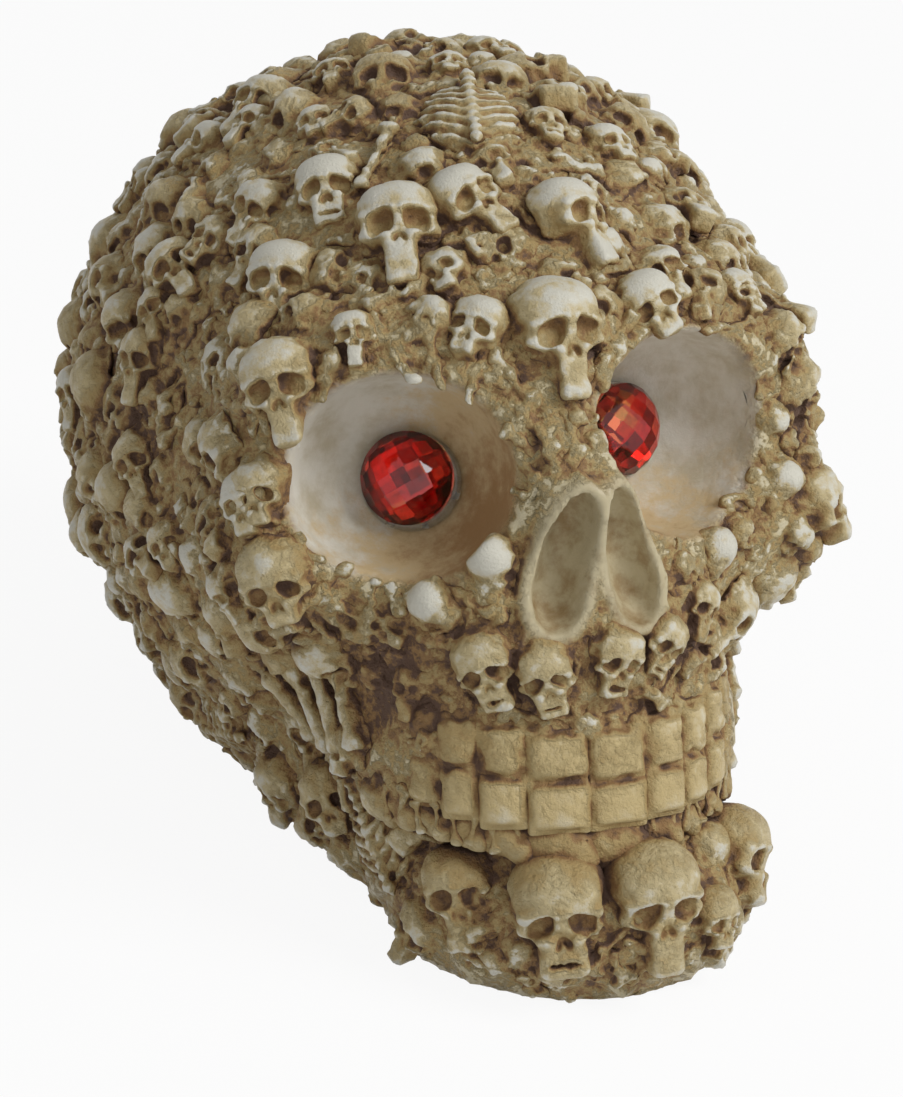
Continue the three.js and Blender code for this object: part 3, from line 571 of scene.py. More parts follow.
# Each shape with its own box, in shares of its size: lowest and highest corner
SHAPES = {
    "skull": (small_skull, (-0.6, -1.0, -0.4), SKULL_TOP),
    "toothed": (toothed_skull, (-0.6, -1.0, -0.4), SKULL_TOP),
    "long_jawed": (long_jawed_skull, (-0.6, -1.1, -0.4), SKULL_TOP),
    "round_eyed": (round_eyed_skull, (-0.6, -1.05, -0.4), SKULL_TOP),
    "worn": (worn_skull, (-0.6, -0.85, -0.4), SKULL_TOP),
    "dome": (dome, (-0.6, -0.6, -0.3), (0.6, 0.6, 0.5)),
    "bead": (bead, (-0.6, -0.9, -0.3), (0.6, 0.6, 0.65)),
    "bone": (long_bone, (-0.58, -0.2, -0.15), (0.58, 0.2, 0.16)),
    "stout_bone": (stout_bone, (-0.6, -0.3, -0.2), (0.6, 0.3, 0.25)),
    "post": (post, (-0.66, -0.3, -0.2), (0.66, 0.3, 0.25)),
    "ribs": (rib_fan, (-0.6, -0.55, -0.15), (0.68, 0.55, 0.25)),
    "jaw": (jaw_bone, (-0.6, -0.35, -0.15), (0.6, 0.42, 0.3)),
    "vertebra": (vertebra, (-0.6, -0.5, -0.25), (0.6, 0.5, 0.5)),
    "flake": (flake, (-0.58, -0.32, -0.2), (0.58, 0.32, 0.2)),
    "lump": (lump, (-0.6, -0.6, -0.3), (0.65, 0.5, 0.45)),
}


# Meshes from fields
def laid_along(axis, values):
    """Values in a row along one axis of a lattice."""
    shape = [1, 1, 1]
    shape[axis] = -1
    return values.reshape(shape)


def finer(coarse, counts):
    """A field on a coarse lattice, filled in to more points along each axis."""
    for axis, count in enumerate(counts):
        at = np.linspace(0, coarse.shape[axis] - 1, count)
        low = np.minimum(at.astype(int), coarse.shape[axis] - 2)
        share = laid_along(axis, at - low)
        coarse = np.take(coarse, low, axis) * (1 - share) + np.take(coarse, low + 1, axis) * share
    return coarse


def surface_of(field, corner, voxel):
    """Points and faces where the field is zero. Its outermost layer counts as outside."""
    for axis in range(3):
        for end in (0, -1):
            index = [slice(None)] * 3
            index[axis] = end
            field[tuple(index)] = np.maximum(field[tuple(index)], voxel)
    grid = openvdb.FloatGrid(background=voxel * 3)
    grid.copyFromArray(np.ascontiguousarray(field / voxel, dtype=np.float32))
    points, triangles, quads = grid.convertToPolygons(isovalue=0.0, adaptivity=MERGING)
    return corner + points.astype(float) * voxel, triangles.astype(np.int64), quads.astype(np.int64)


def lattice(low, high, voxel):
    counts = np.maximum(np.ceil((np.asarray(high) - low) / voxel).astype(int) + 1, 4)
    return [laid_along(k, low[k] + voxel * np.arange(counts[k])) for k in range(3)]


def coarse_ticks(axes):
    """A few places along each axis of a lattice, from end to end."""
    low = np.array([axis.ravel()[0] for axis in axes])
    high = np.array([axis.ravel()[-1] for axis in axes])
    counts = np.maximum(((high - low) / BED_STEP).astype(int) + 2, 3)
    return [np.linspace(*ends, dtype=low.dtype) for ends in zip(low, high, counts)]


def bed_on(axes, place):
    """The paste's distance, and that of the sockets and the nose, on a piece's own lattice."""
    points = np.stack(np.meshgrid(*coarse_ticks(axes), indexing="ij"), axis=-1)
    upright = columns(moved(points, place))
    sockets, nose = sockets_distance(upright), nose_distance(upright)
    holes = np.minimum(sockets, nose) - HOLE_MARGIN
    crust = without(form_distance(upright) - PASTE_THICKNESS + BED_DROP, holes, HOLE_BLEND)
    clear = np.minimum(sockets + SOCKET_INSIDE, nose - NOSE_OUTSIDE)
    counts = [axis.size for axis in axes]
    return finer(crust, counts), finer(clear, counts)


def bedded_piece(shape_at, low, high, place, voxel=PIECE_VOXEL, fillet=FILLET):
    """One relief piece that grows out of the paste, as points and faces of the upright skull."""
    margin = MARGIN_SHARE * fillet
    low, high = low - margin, high + margin
    low[2] = max(low[2], -BED_DEPTH - margin)
    axes = lattice(low, high, voxel)
    shape = shape_at(axes)
    bed, clear = bed_on(axes, place)
    carved = without(shape, clear, EDGE_BLEND)
    field = np.maximum(np.maximum(flow(carved, bed, fillet), shape - margin), -(bed + BED_DEPTH))
    field = np.maximum(field, -height_on(axes, place))
    mark(field, axes, place, voxel)
    points, *faces = surface_of(field, low, voxel)
    return moved(points, place), *faces


def height_on(axes, place):
    """Height over the surface that the ornament lies on."""
    row = (HEAD_MATRIX @ place)[2]
    return sum(r * axis for r, axis in zip(row[:3], axes)) + row[3]


# What is solid, in coarse cells, for the places that brown wash settles in
FIELD_LOW = np.array([-84, -108, -116]) * MM
FIELD_HIGH = np.array([84, 112, 104]) * MM
FIELD_COUNTS = np.ceil((FIELD_HIGH - FIELD_LOW) / CELL).astype(int)
filled_cells = []
filled_shares = []


def mark(field, axes, place, voxel):
    """Notes the cells that a piece's inside takes up."""
    inside = np.argwhere(field < 0)
    ticks = [axis.ravel() for axis in axes]
    points = np.stack([ticks[k][inside[:, k]] for k in range(3)], axis=1)
    cells = ((moved(points, place) - FIELD_LOW) / CELL).astype(int)
    cells = np.clip(cells, 0, FIELD_COUNTS - 1)
    filled_cells.append(np.ravel_multi_index(cells.T, FIELD_COUNTS))
    filled_shares.append(np.full(len(cells), (voxel / CELL) ** 3))


def softened(grid, radius):
    """A box blur, twice, over that many cells each way."""
    for _ in range(2):
        for axis in range(3):
            width = [(0, 0)] * 3
            width[axis] = (radius + 1, radius)
            total = np.cumsum(np.pad(grid, width, mode="edge"), axis=axis)
            count = grid.shape[axis]
            ahead = np.take(total, range(2 * radius + 1, 2 * radius + 1 + count), axis)
            behind = np.take(total, range(count), axis)
            grid = (ahead - behind) / (2 * radius + 1)
    return grid


def read_off(grid, points):
    at = (points - FIELD_LOW) / CELL - 0.5
    at = np.clip(at, 0, FIELD_COUNTS - 1.001)
    low = at.astype(int)
    share = at - low
    total = np.zeros(len(points))
    for corner, weight in cell_corners(share):
        total += weight * grid[tuple((low + corner).T.clip(0, FIELD_COUNTS[:, None] - 1))]
    return total


# Small skulls that the solid model has: place on the globe in degrees, share of the widest one's width,
# turn, look, nod and shape
SMALL_SKULLS = {
    "forehead_middle": (-2.5, 42, 0.95, 4, 8, 18, "round_eyed"),
    "forehead_long_jaw": (-36.5, 57.5, 0.92, 0, 6, 4, "long_jawed"),
    "forehead_lean": (-18.5, 62.5, 0.75, 38, 10, 10, "skull"),
    "forehead_pair": (11.5, 59, 0.86, 12, 30, 6, "skull"),
    "forehead_turned": (21, 43.5, 0.68, 20, -25, 10, "worn"),
    "brow_left_down": (-18.5, 42, 0.62, -35, -18, 8, "worn"),
    "brow_tiny": (-41.5, 39, 0.48, 0, 10, 12, "skull"),
    "brow_right_mid": (-60.5, 47, 0.78, -6, 16, 14, "skull"),
    "forehead_small_right": (-58.5, 61, 0.7, 8, 10, 16, "toothed"),
    "temple_turned": (-74, 55.5, 0.58, -30, 8, 10, "skull"),
    "brow_left_edge": (46.5, 40.5, 0.52, 10, 0, 8, "worn"),
    "crown_top": (123.5, 80, 0.56, 0, 0, 0, "worn"),
    "crown_right": (-108.5, 67, 0.7, -20, 20, 10, "skull"),
    "crown_right_back": (-127.5, 48, 0.58, -30, 10, 0, "skull"),
    "side_lower_right_look": (-87, 44, 0.67, 40, 24, 8, "skull"),
    "side_long_dome": (-88.5, 32, 0.61, -15, 10, 0, "long_jawed"),
    "side_dark_eye": (-88.5, 18, 0.59, 12, 20, 0, "skull"),
    "side_back": (-113, 22.5, 0.58, 0, 30, 0, "skull"),
    "socket_rim_skull": (-52.5, 31, 0.83, 4, 10, 4, "skull"),
    "socket_side_dome": (-57.5, 15, 0.64, 0, 6, 0, "worn"),
    "cheek_skull": (-53.5, 4, 0.79, 0, 8, -6, "worn"),
    "cheek_back": (-79.5, 6.5, 0.5, 8, 24, -6, "worn"),
    "jaw_corner": (-69, -48, 0.74, 6, 28, 8, "worn"),
    "lip_outer_right": (-20, -10.5, 0.67, 6, 4, 0, "toothed"),
    "lip_right": (-9.5, -12, 0.64, 4, 2, 0, "toothed"),
    "lip_left": (4, -10, 0.59, -6, 4, 0, "toothed"),
    "lip_outer_left": (14.5, -9, 0.53, -20, 0, 0, "toothed"),
    "chin_outer_right": (-27, -46.5, 0.79, 0, 24, 26, "skull"),
    "chin_right": (-8, -44, 1, -2, 8, 28, "toothed"),
    "chin_left": (10.5, -42.5, 1, 4, -8, 28, "skull"),
    "chin_outer_left": (37, -43, 0.96, 0, 6, 24, "worn"),
    "temple_left": (70.5, 29, 0.81, 0, -14, 6, "skull"),
    "side_left": (91.5, 40, 0.75, -14, -8, 0, "skull"),
    "side_left_low": (93, 9.5, 0.72, 10, -16, 0, "toothed"),
    "back_left": (131.5, 39.5, 0.83, 12, 0, 0, "round_eyed"),
    "back_right": (-153, 33, 0.81, -12, 0, 0, "long_jawed"),
}

# Bones that the solid model has: place on the globe, turn, share of the longest one's length
BONES = {
    "long_bone_forehead": (-47.5, 67, 70, 0.63),
    "long_bone_back": (165, 4.5, -30, 1),
    "cheek_post_right_1": (-48.5, -23, 88, 0.43),
    "cheek_post_right_2": (-54.5, -23.5, 86, 0.53),
    "cheek_post_right_3": (-62, -26, 82, 0.53),
    "cheek_post_right_4": (-70.5, -27, 72, 0.47),
    "cheek_post_left_1": (53.5, -22.5, 96, 0.43),
    "cheek_post_left_2": (61, -25, 98, 0.57),
    "cheek_post_left_3": (69, -27, 102, 0.5),
}

# Rib cages that the solid model has: place on the globe and turn
RIB_CAGES = {
    "rib_cage_crown": (-10, 76, 80),
    "rib_cage_jaw": (-47.5, -48.5, 100),
    "rib_cage_back": (144, 64, -25),
}

# More relief that shows in the photograph: shape, pixel, size in pixels, and its turn and look if it has any
PIXELS_PER_MM = 5.2
SEEN_RELIEF = [
    ("dome", 481, 64, 40), ("dome", 540, 70, 42, 30), ("dome", 649, 170, 36), ("dome", 685, 185, 32),
    ("dome", 621, 218, 30), ("dome", 694, 266, 32), ("worn", 742, 302, 40, -10), ("dome", 604, 265, 34, 40),
    ("worn", 262, 492, 60), ("skull", 228, 590, 42), ("dome", 165, 540, 44, 30), ("dome", 195, 555, 46, 20),
    ("dome", 120, 580, 42), ("bead", 490, 558, 48), ("bead", 430, 600, 44, 30), ("dome", 774, 419, 40),
    ("dome", 785, 478, 46), ("bead", 714, 547, 44), ("skull", 697, 605, 44, -10),
    ("long_jawed", 160, 310, 46, 14), ("skull", 147, 188, 44, -30), ("skull", 208, 145, 48, -40),
    ("dome", 275, 105, 50), ("skull", 354, 120, 44, -60), ("dome", 78, 387, 44), ("dome", 88, 490, 40),
    ("dome", 240, 365, 40), ("stout_bone", 347, 302, 54, 18), ("dome", 294, 206, 24),
    ("bone", 515, 380, 70, -62), ("bone", 505, 290, 70, -48), ("stout_bone", 576, 165, 60, -30),
    ("flake", 735, 238, 34, -60, 40), ("flake", 786, 370, 40, -30, 40), ("flake", 760, 560, 52, 30, 10),
    ("jaw", 615, 268, 44, 20), ("jaw", 340, 240, 36), ("stout_bone", 505, 838, 44, -70),
    ("stout_bone", 548, 842, 42, 84), ("stout_bone", 598, 842, 42, 96), ("bone", 690, 832, 60, 20),
    ("bone", 640, 832, 50, -8), ("bone", 512, 975, 46, -60), ("bone", 600, 965, 46, 78),
    ("bone", 618, 968, 50, 100), ("bone", 470, 942, 44, -40), ("stout_bone", 530, 985, 40, 80),
    ("bone", 560, 992, 44, 100), ("bone", 642, 972, 46, 70), ("bone", 668, 960, 44, 62),
    ("stout_bone", 700, 945, 44, 50), ("stout_bone", 480, 962, 40, -50), ("ribs", 231, 725, 96, -20),
    ("jaw", 452, 800, 44, -30), ("vertebra", 425, 740, 34), ("bone", 345, 610, 56, -50),
    ("bone", 372, 600, 44, 60), ("dome", 706, 842, 64), ("worn", 712, 915, 54, 10),
    ("skull", 335, 80, 46, 10), ("dome", 400, 66, 44), ("worn", 448, 72, 44, -10),
    ("skull", 598, 102, 52, 20), ("worn", 608, 150, 50), ("skull", 253, 128, 46, -14),
    ("dome", 603, 243, 44), ("worn", 318, 128, 44, 12), ("toothed", 545, 130, 46, -16),
]

# Patches of painted shade over dark recesses, laid on as extra wash: pixel, radius in pixels and strength
SHADED_RECESS_PLACES = [
    (402, 695, 70, 2.6), (145, 455, 66, 1.3), (255, 640, 46, 1.3), (690, 632, 34, 1.6), (170, 350, 40, 1.3),
    (430, 520, 20, 1.3),
]


# How much brown wash the pieces hold, from the lightest to the darkest of each kind
USUAL_TINT = (0, 0.7)
YELLOWED_TINT = (0.6, 1.1)
PALE_TINT = (-0.2, 0.5)
WIPED_TINT = (-0.3, 0.2)
BONE_TINT = (0.2, 0.5)
FILL_TINT = (0.3, 1.3)
GUM_TINT = (1.3, 1.8)
STUB_TINT = (0.8, 1.5)
TOOTH_TINT = (0, 0.3)
SHELL_TINT = 0.5
SHELL_WEAR = 0.4

wash_chance = np.random.default_rng(5)


# Pieces collected as points and faces
class Heap:
    def __init__(self):
        self.points, self.triangles, self.quads, self.tints, self.count = [], [], [], [], 0

    def add(self, points, triangles, quads, tint_range):
        self.points.append(points)
        self.triangles.append(triangles + self.count)
        self.quads.append(quads + self.count)
        self.tints.append(np.full(len(points), wash_chance.uniform(*tint_range)))
        self.count += len(points)

    def surface(self):
        return [np.concatenate(parts) for parts in (self.points, self.triangles, self.quads)]


heaps = {}


def heap_up(name, piece, tint_range):
    heaps.setdefault(name, Heap()).add(*piece, tint_range)


def add_relief(heap_name, kind, size, place, voxel=PIECE_VOXEL, tint_range=USUAL_TINT):
    shape_at, low_share, high_share = SHAPES[kind]
    low, high = np.array(low_share) * size, np.array(high_share) * size

    def full_size(axes):
        return shape_at([axis / size for axis in axes]) * size

    piece = bedded_piece(full_size, low, high, place, voxel)
    heap_up(heap_name, piece, tint_range)


taken_places = []
taken_radii = []


def take(place, radius):
    taken_places.append(place[:3, 3])
    taken_radii.append(radius)


def perched(table):
    """For each row of a table its name, what follows its place, and a frame on the skin there."""
    places = np.array([row[:2] for row in table.values()])
    for (name, row), perch in zip(table.items(), perches_on_globe(*places.T)):
        yield name, row[2:], perch


SKULL_RADIUS_SHARE = 0.5
RIB_CAGE_RADIUS_SHARE = 0.45
SLIM_RADIUS_SHARE = 0.25
SLIM_SHAPES = ("bone", "stout_bone", "flake")
YELLOWED = ("lip", "chin_outer_right", "chin_right", "chin_left", "jaw", "cheek")

for name, (share, *angles, kind), perch in perched(SMALL_SKULLS):
    width = share * SMALL_SKULL_WIDTH
    place = perch @ lifted(-SINK_SHARE * width) @ turned(*angles)
    tint_range = YELLOWED_TINT if name.startswith(YELLOWED) else PALE_TINT
    add_relief(f"small_skull_{name}", kind, width, place, tint_range=tint_range)
    take(place, SKULL_RADIUS_SHARE * width)

for name, (turn, share), perch in perched(BONES):
    place = perch @ lifted(BONE_LIFT_SHARE * BONE_THICKNESS) @ turned(turn)
    kind = "post" if "post" in name else "bone"
    add_relief(name, kind, share * BONE_LENGTH, place, tint_range=BONE_TINT)
    take(place, BONE_THICKNESS)

for name, (turn,), perch in perched(RIB_CAGES):
    place = perch @ lifted(BONE_LIFT_SHARE * RIB_THICKNESS) @ turned(turn)
    add_relief(name, "ribs", RIB_CAGE_LENGTH, place)
    take(place, RIB_CAGE_RADIUS_SHARE * RIB_CAGE_LENGTH)


# The borders of the regions of the smaller relief, in shares of half the brain case
JAW_TOP_SHARE = -0.55
NECK_FRONT_SHARE = -0.2
BACK_FRONT_SHARE = 0.45
CROWN_BASE_SHARE = 0.75
FACE_BACK_SHARE = -0.62
BROW_BASE_SHARE = 0.25
SIDE_MIDDLE_SHARE = 0.1


def region_of(place):
    x, y, z = place[:3, 3] / HEAD_HALF
    half_name = "right" if x < 0 else "left"
    if z < JAW_TOP_SHARE:
        return "relief_jaw" if y < NECK_FRONT_SHARE else "relief_neck"
    if y > BACK_FRONT_SHARE:
        return f"relief_back_{half_name}"
    if z > CROWN_BASE_SHARE:
        return f"relief_crown_{half_name}"
    if y < FACE_BACK_SHARE:
        return "relief_brow" if z > BROW_BASE_SHARE else "relief_face"
    level = "upper" if z > SIDE_MIDDLE_SHARE else "lower"
    return f"relief_side_{half_name}_{level}"


pixels = np.array([row[1:3] for row in SEEN_RELIEF], float)
for (kind, _, _, pixel_size, *angles), perch in zip(SEEN_RELIEF, perches_in_photo(pixels)):
    size = pixel_size / PIXELS_PER_MM * MM
    place = perch @ turned(*angles)
    tint_range = WIPED_TINT if kind in ("bead", "dome") else USUAL_TINT
    add_relief(region_of(place), kind, size, place, tint_range=tint_range)
    take(place, (SLIM_RADIUS_SHARE if kind in SLIM_SHAPES else SKULL_RADIUS_SHARE) * size)


# Smaller pieces fill the room that is left, from large to small. What the photograph shows from the front is
# placed above, so only small ones go between, and slightly wider ones on the forehead
FILL_CANDIDATES = 3600
SKULLS = ["skull", "worn", "long_jawed", "skull", "toothed", "round_eyed", "worn"]
TRIFLES = ["dome", "lump", "vertebra", "stout_bone", "bead", "jaw", "flake"]
FILL_STEPS = [
    (13.5, SKULLS),
    (11, SKULLS),
    (9, SKULLS + ["jaw", "dome", "bead"]),
    (17, ["bone"]),
    (7.2, ["dome", "worn", "skull", "bead", "vertebra", "jaw", "lump"]),
    (5.4, TRIFLES),
    (4, TRIFLES),
]
FILL_OVERLAP = 0.84
FRONT_FACING = 0.55
FACE_WIDEST = 8 * MM
FOREHEAD_WIDEST = 10.5 * MM
BROW_TOP = 0.5 * HEAD_HALF[2]
SLIM_SHARES = {"bone": 0.22, "stout_bone": 0.34, "flake": 0.34}
LOWEST_RELIEF = 5 * MM
NOSE_CLEAR = 5 * MM
ROOM_SHARE = 0.55
SIZE_RANGE = (0.85, 1.12)
SINK_RANGE = (0.06, 0.3)
SLIM_SINK_SHARE = 0.02
ANGLE_RANGES = [72, 44, 28]
SLIM_ANGLE_SHARES = [2.5, 0.3, 0.5]

chance = np.random.default_rng(17)


def spread_over_globe(count):
    turn = math.pi * (3 - math.sqrt(5))
    index = np.arange(count)
    latitude = np.degrees(np.arcsin(1 - 2 * (index + 0.5) / count))
    longitude = np.degrees(index * turn) % 360
    return longitude, latitude


ARCH_MIDDLE, ARCH_HALF = (np.array(shares) * HEAD_HALF for shares in MASS_SHARES["tooth_arch"][:2])
MOUTH_HEIGHT = HEAD_HALF[2] * MOUTH_LINE_SHARE


def mouth_distance(points):
    """How far a place is from the band that the teeth take up."""
    rise = SMILE_RISE * np.minimum(np.abs(points[:, 0] - ARCH_MIDDLE[0]) / SMILE_REACH, 1) ** SMILE_POWER
    above = np.abs(points[:, 2] - (MOUTH_HEIGHT + rise)) - MOUTH_BAND_HALF
    behind = points[:, 1] - (ARCH_MIDDLE[1] - MOUTH_BAND_DEPTH)
    return np.maximum(above, behind)


def fill_gaps():
    perch_list = perches_on_globe(*spread_over_globe(FILL_CANDIDATES))
    points = perch_list[:, :3, 3]
    facing = perch_list[:, :3, 2] @ camera_axes()[2]
    heights = moved(points, HEAD_MATRIX)[:, 2]
    open_room = np.minimum(sockets_distance(columns(points)), nose_distance(columns(points)) - NOSE_CLEAR)
    open_room = np.minimum(open_room, mouth_distance(points))
    open_room = np.minimum(open_room, heights - LOWEST_RELIEF)
    for width, kinds in FILL_STEPS:
        order = chance.permutation(len(points))
        for index in order:
            kind = kinds[chance.integers(len(kinds))]
            size = width * chance.uniform(*SIZE_RANGE) * MM
            angles = chance.uniform(-1, 1, 3) * ANGLE_RANGES
            sink = chance.uniform(*SINK_RANGE) * size
            if kind in SLIM_SHAPES:
                angles = angles * SLIM_ANGLE_SHARES
                sink = SLIM_SINK_SHARE * size
            radius = size * SLIM_SHARES.get(kind, SKULL_RADIUS_SHARE)
            gaps = np.linalg.norm(np.array(taken_places) - points[index], axis=1)
            crowded = (gaps < FILL_OVERLAP * (np.array(taken_radii) + radius)).any()
            widest = FOREHEAD_WIDEST if points[index, 2] > BROW_TOP else FACE_WIDEST
            too_wide = facing[index] > FRONT_FACING and radius > widest / 2
            if crowded or too_wide or open_room[index] < ROOM_SHARE * radius:
                continue
            place = perch_list[index] @ lifted(-sink) @ turned(*angles)
            voxel = FILL_VOXEL if facing[index] > 0 else HIDDEN_VOXEL
            add_relief(region_of(place), kind, size, place, voxel, FILL_TINT)
            take(place, radius)


fill_gaps()


# Teeth
ARCH_STEPS = 400


def arch_place(distance):
    """Where a tooth stands on the arch, and which way it faces."""
    half = ARCH_HALF + PASTE_THICKNESS
    angles = np.linspace(0, math.pi / 2, ARCH_STEPS)
    steps = np.hypot(half[0] * np.cos(angles), half[1] * np.sin(angles)) * (angles[1] - angles[0])
    angle = np.interp(abs(distance), np.cumsum(steps) - steps[0], angles)
    side = math.copysign(1, distance)
    x = ARCH_MIDDLE[0] + side * half[0] * math.sin(angle)
    y = ARCH_MIDDLE[1] - half[1] * math.cos(angle)
    return x, y, math.atan2(side * half[1] * math.sin(angle), half[0] * math.cos(angle))


def crown(width, height, away, lean):
    """A tooth's crown on the paste that fills the grooves. X along the arch, Y up, Z outwards."""
    def shape_at(point):
        x, y, z = point
        x = x + lean * y
        middle = (0, away * (BITE_GAP + height) / 2, TOOTH_STAND_OUT - TOOTH_DEPTH / 2)
        half = (width / 2 - TOOTH_PARTING, height / 2, TOOTH_DEPTH / 2)
        belly = TOOTH_BELLY * np.cos(np.clip(x / width, -0.5, 0.5) * math.pi)
        tooth = block((x, y, z - belly), middle, half, CROWN_ROUNDING)
        bed_half = (width / 2 + GROOVE_MARGIN, (height + BITE_GAP) / 2 + GROOVE_BLEND, TOOTH_DEPTH / 2)
        bed_middle = (0, middle[1], middle[2] - GROOVE_DEPTH)
        return flow(tooth, block(point, bed_middle, bed_half, GROOVE_BLEND), GROOVE_BLEND)
    return shape_at


def facing_frame(x, y, z, facing):
    across, outward = math.cos(facing), math.sin(facing)
    return frame_of((across, outward, 0), (0, 0, 1), (outward, -across, 0), (x, y, z))


def add_gum(place, width, height):
    """Paste and stubs of bone under a lower tooth."""
    below = shifted(0, -height - GUM_DROP, -GUM_DEPTH)
    add_relief("relief_jaw", "lump", GUM_WIDTH_SHARE * width, place @ below, tint_range=GUM_TINT)
    for share in STUB_SHARES:
        root = place @ shifted(share * width, -height - STUB_DROP, -STUB_DEPTH)
        lean = STUB_LEAN + STUB_LEAN_RANGE * chance.uniform(-1, 1)
        add_relief("relief_jaw", "stout_bone", STUB_LENGTH, root @ turned(lean), tint_range=STUB_TINT)


def add_teeth():
    widths = np.array(TOOTH_WIDTH_SHARES) * FRONT_TOOTH_WIDTH
    starts = np.cumsum(widths) - widths
    for row, height in TOOTH_HEIGHT.items():
        away = 1 if row == "upper" else -1
        for side in (-1, 1):
            for start, width in zip(starts, widths):
                distance = side * (start + width / 2) + MIDLINE_SHIFT
                x, y, facing = arch_place(distance)
                share = abs(distance) / widths.sum()
                rise = SMILE_RISE * share ** SMILE_POWER
                uneven = chance.uniform(-1, 1, 3) * TOOTH_UNEVEN
                place = facing_frame(x, y, MOUTH_HEIGHT + rise, facing)
                ends = (height + TOOTH_MARGIN, BITE_MARGIN)
                above, below = ends if away > 0 else ends[::-1]
                low = np.array([-TOOTH_BOX_SHARE * width, -below, -TOOTH_DEPTH - BITE_MARGIN])
                high = np.array([TOOTH_BOX_SHARE * width, above, TOOTH_STAND_OUT + TOOTH_FRONT_MARGIN])
                shape_at = crown(width, height + uneven[1], away, uneven[2])
                sunk = lifted(uneven[0] - TOOTH_FADE * share ** 3)
                piece = bedded_piece(shape_at, low, high, place @ sunk, fillet=TOOTH_FILLET)
                heap_up(f"{row}_teeth", piece, TOOTH_TINT)
                if row == "lower":
                    add_gum(place, width, height)


add_teeth()


# The hollow shell under the relief
def row_columns(point):
    return [sum(r * axis for r, axis in zip(row[:3], point)) + row[3] for row in HEAD_MATRIX[:3]]


def hollow_distance(point):
    place = np.array(MASS_SHARES["cranium"][0]) * HEAD_HALF
    back = place[1] + HEAD_HALF[1] - WALL
    front = max(SOCKET_PLACES[side][1] for side in SOCKET_PLACES) + SOCKET_HALF[1] + WALL
    place[1] = (front + back) / 2
    half = HEAD_HALF - WALL
    half[1] = (back - front) / 2
    return mass(point, place, half)


def shell_distance(axes):
    coarse = form_distance([laid_along(axis, ticks) for axis, ticks in enumerate(coarse_ticks(axes))])
    form = finer(coarse.astype(np.float32), [axis.size for axis in axes])
    nose = nose_distance(axes)
    shell = without(form - PASTE_THICKNESS, sockets_distance(axes), HOLE_BLEND)
    shell = flow(shell, nose_rim_distance(form, nose), HOLE_BLEND)
    shell = without(shell, nose, EDGE_BLEND)
    shell = without(shell, hollow_distance(axes), EDGE_BLEND)
    x, y, z = row_columns(axes)
    neck = (length_of(x / NECK_HALF[0], (y - HEAD_PLACE[1] - NECK_BACK) / NECK_HALF[1]) - 1) * NECK_HALF[1]
    shell = without(shell, np.maximum(neck, z - HEAD_PLACE[2]), NECK_BLEND)
    return np.maximum(shell, -z)


def shell_surface():
    axes = [axis.astype(np.float32) for axis in lattice(FIELD_LOW, FIELD_HIGH, SHELL_VOXEL)]
    return surface_of(shell_distance(axes), FIELD_LOW, SHELL_VOXEL)


def solid_cells():
    """The share of each cell that is solid, with the shell and the relief."""
    middles = [FIELD_LOW[k] + CELL * (np.arange(FIELD_COUNTS[k]) + 0.5) for k in range(3)]
    axes = [laid_along(k, middle.astype(np.float32)) for k, middle in enumerate(middles)]
    shell = np.clip(0.5 - shell_distance(axes) / CELL, 0, 1)
    cell_count = int(np.prod(FIELD_COUNTS))
    relief = np.bincount(np.concatenate(filled_cells), np.concatenate(filled_shares), cell_count)
    relief = np.minimum(relief, 1).reshape(FIELD_COUNTS)
    return np.maximum(shell, relief).astype(np.float32)


cells = solid_cells()
NEAR_CELLS = softened(cells, radius=1)
WIDE_CELLS = softened(cells, radius=4)


# Meshes and what the brown wash and the painted shade need to know of each point
def mesh_of(name, points, triangles, quads):
    mesh = bpy.data.meshes.new(name)
    mesh.vertices.add(len(points))
    mesh.vertices.foreach_set("co", points.astype(np.float32).ravel())
    corners = np.concatenate([triangles.ravel(), quads.ravel()]).astype(np.int32)
    mesh.loops.add(len(corners))
    mesh.loops.foreach_set("vertex_index", corners)
    starts = [np.arange(0, triangles.size, 3), np.arange(triangles.size, len(corners), 4)]
    mesh.polygons.add(len(triangles) + len(quads))
    mesh.polygons.foreach_set("loop_start", np.concatenate(starts).astype(np.int32))
    mesh.update(calc_edges=True)
    mesh.shade_smooth()
    return mesh


def read_places(items, field):
    flat = np.empty(len(items) * 3, np.float32)
    items.foreach_get(field, flat)
    return flat.reshape(-1, 3).astype(float)


def points_and_normals(mesh):
    return read_places(mesh.vertices, "co"), read_places(mesh.vertex_normals, "vector")


def write_points(mesh, points):
    mesh.vertices.foreach_set("co", points.astype(np.float32).ravel())
    mesh.update()


def edge_ends(mesh):
    edges = np.empty(len(mesh.edges) * 2, np.int32)
    mesh.edges.foreach_get("vertices", edges)
    return edges.reshape(-1, 2).T


def neighbour_mean(mesh, values):
    one, other = edge_ends(mesh)
    size = len(values)
    count = np.bincount(one, minlength=size) + np.bincount(other, minlength=size)
    sums = []
    for column in values.reshape(size, -1).T:
        sums.append(np.bincount(one, column[other], size) + np.bincount(other, column[one], size))
    return (np.stack(sums, axis=1) / np.maximum(count, 1)[:, None]).reshape(values.shape)


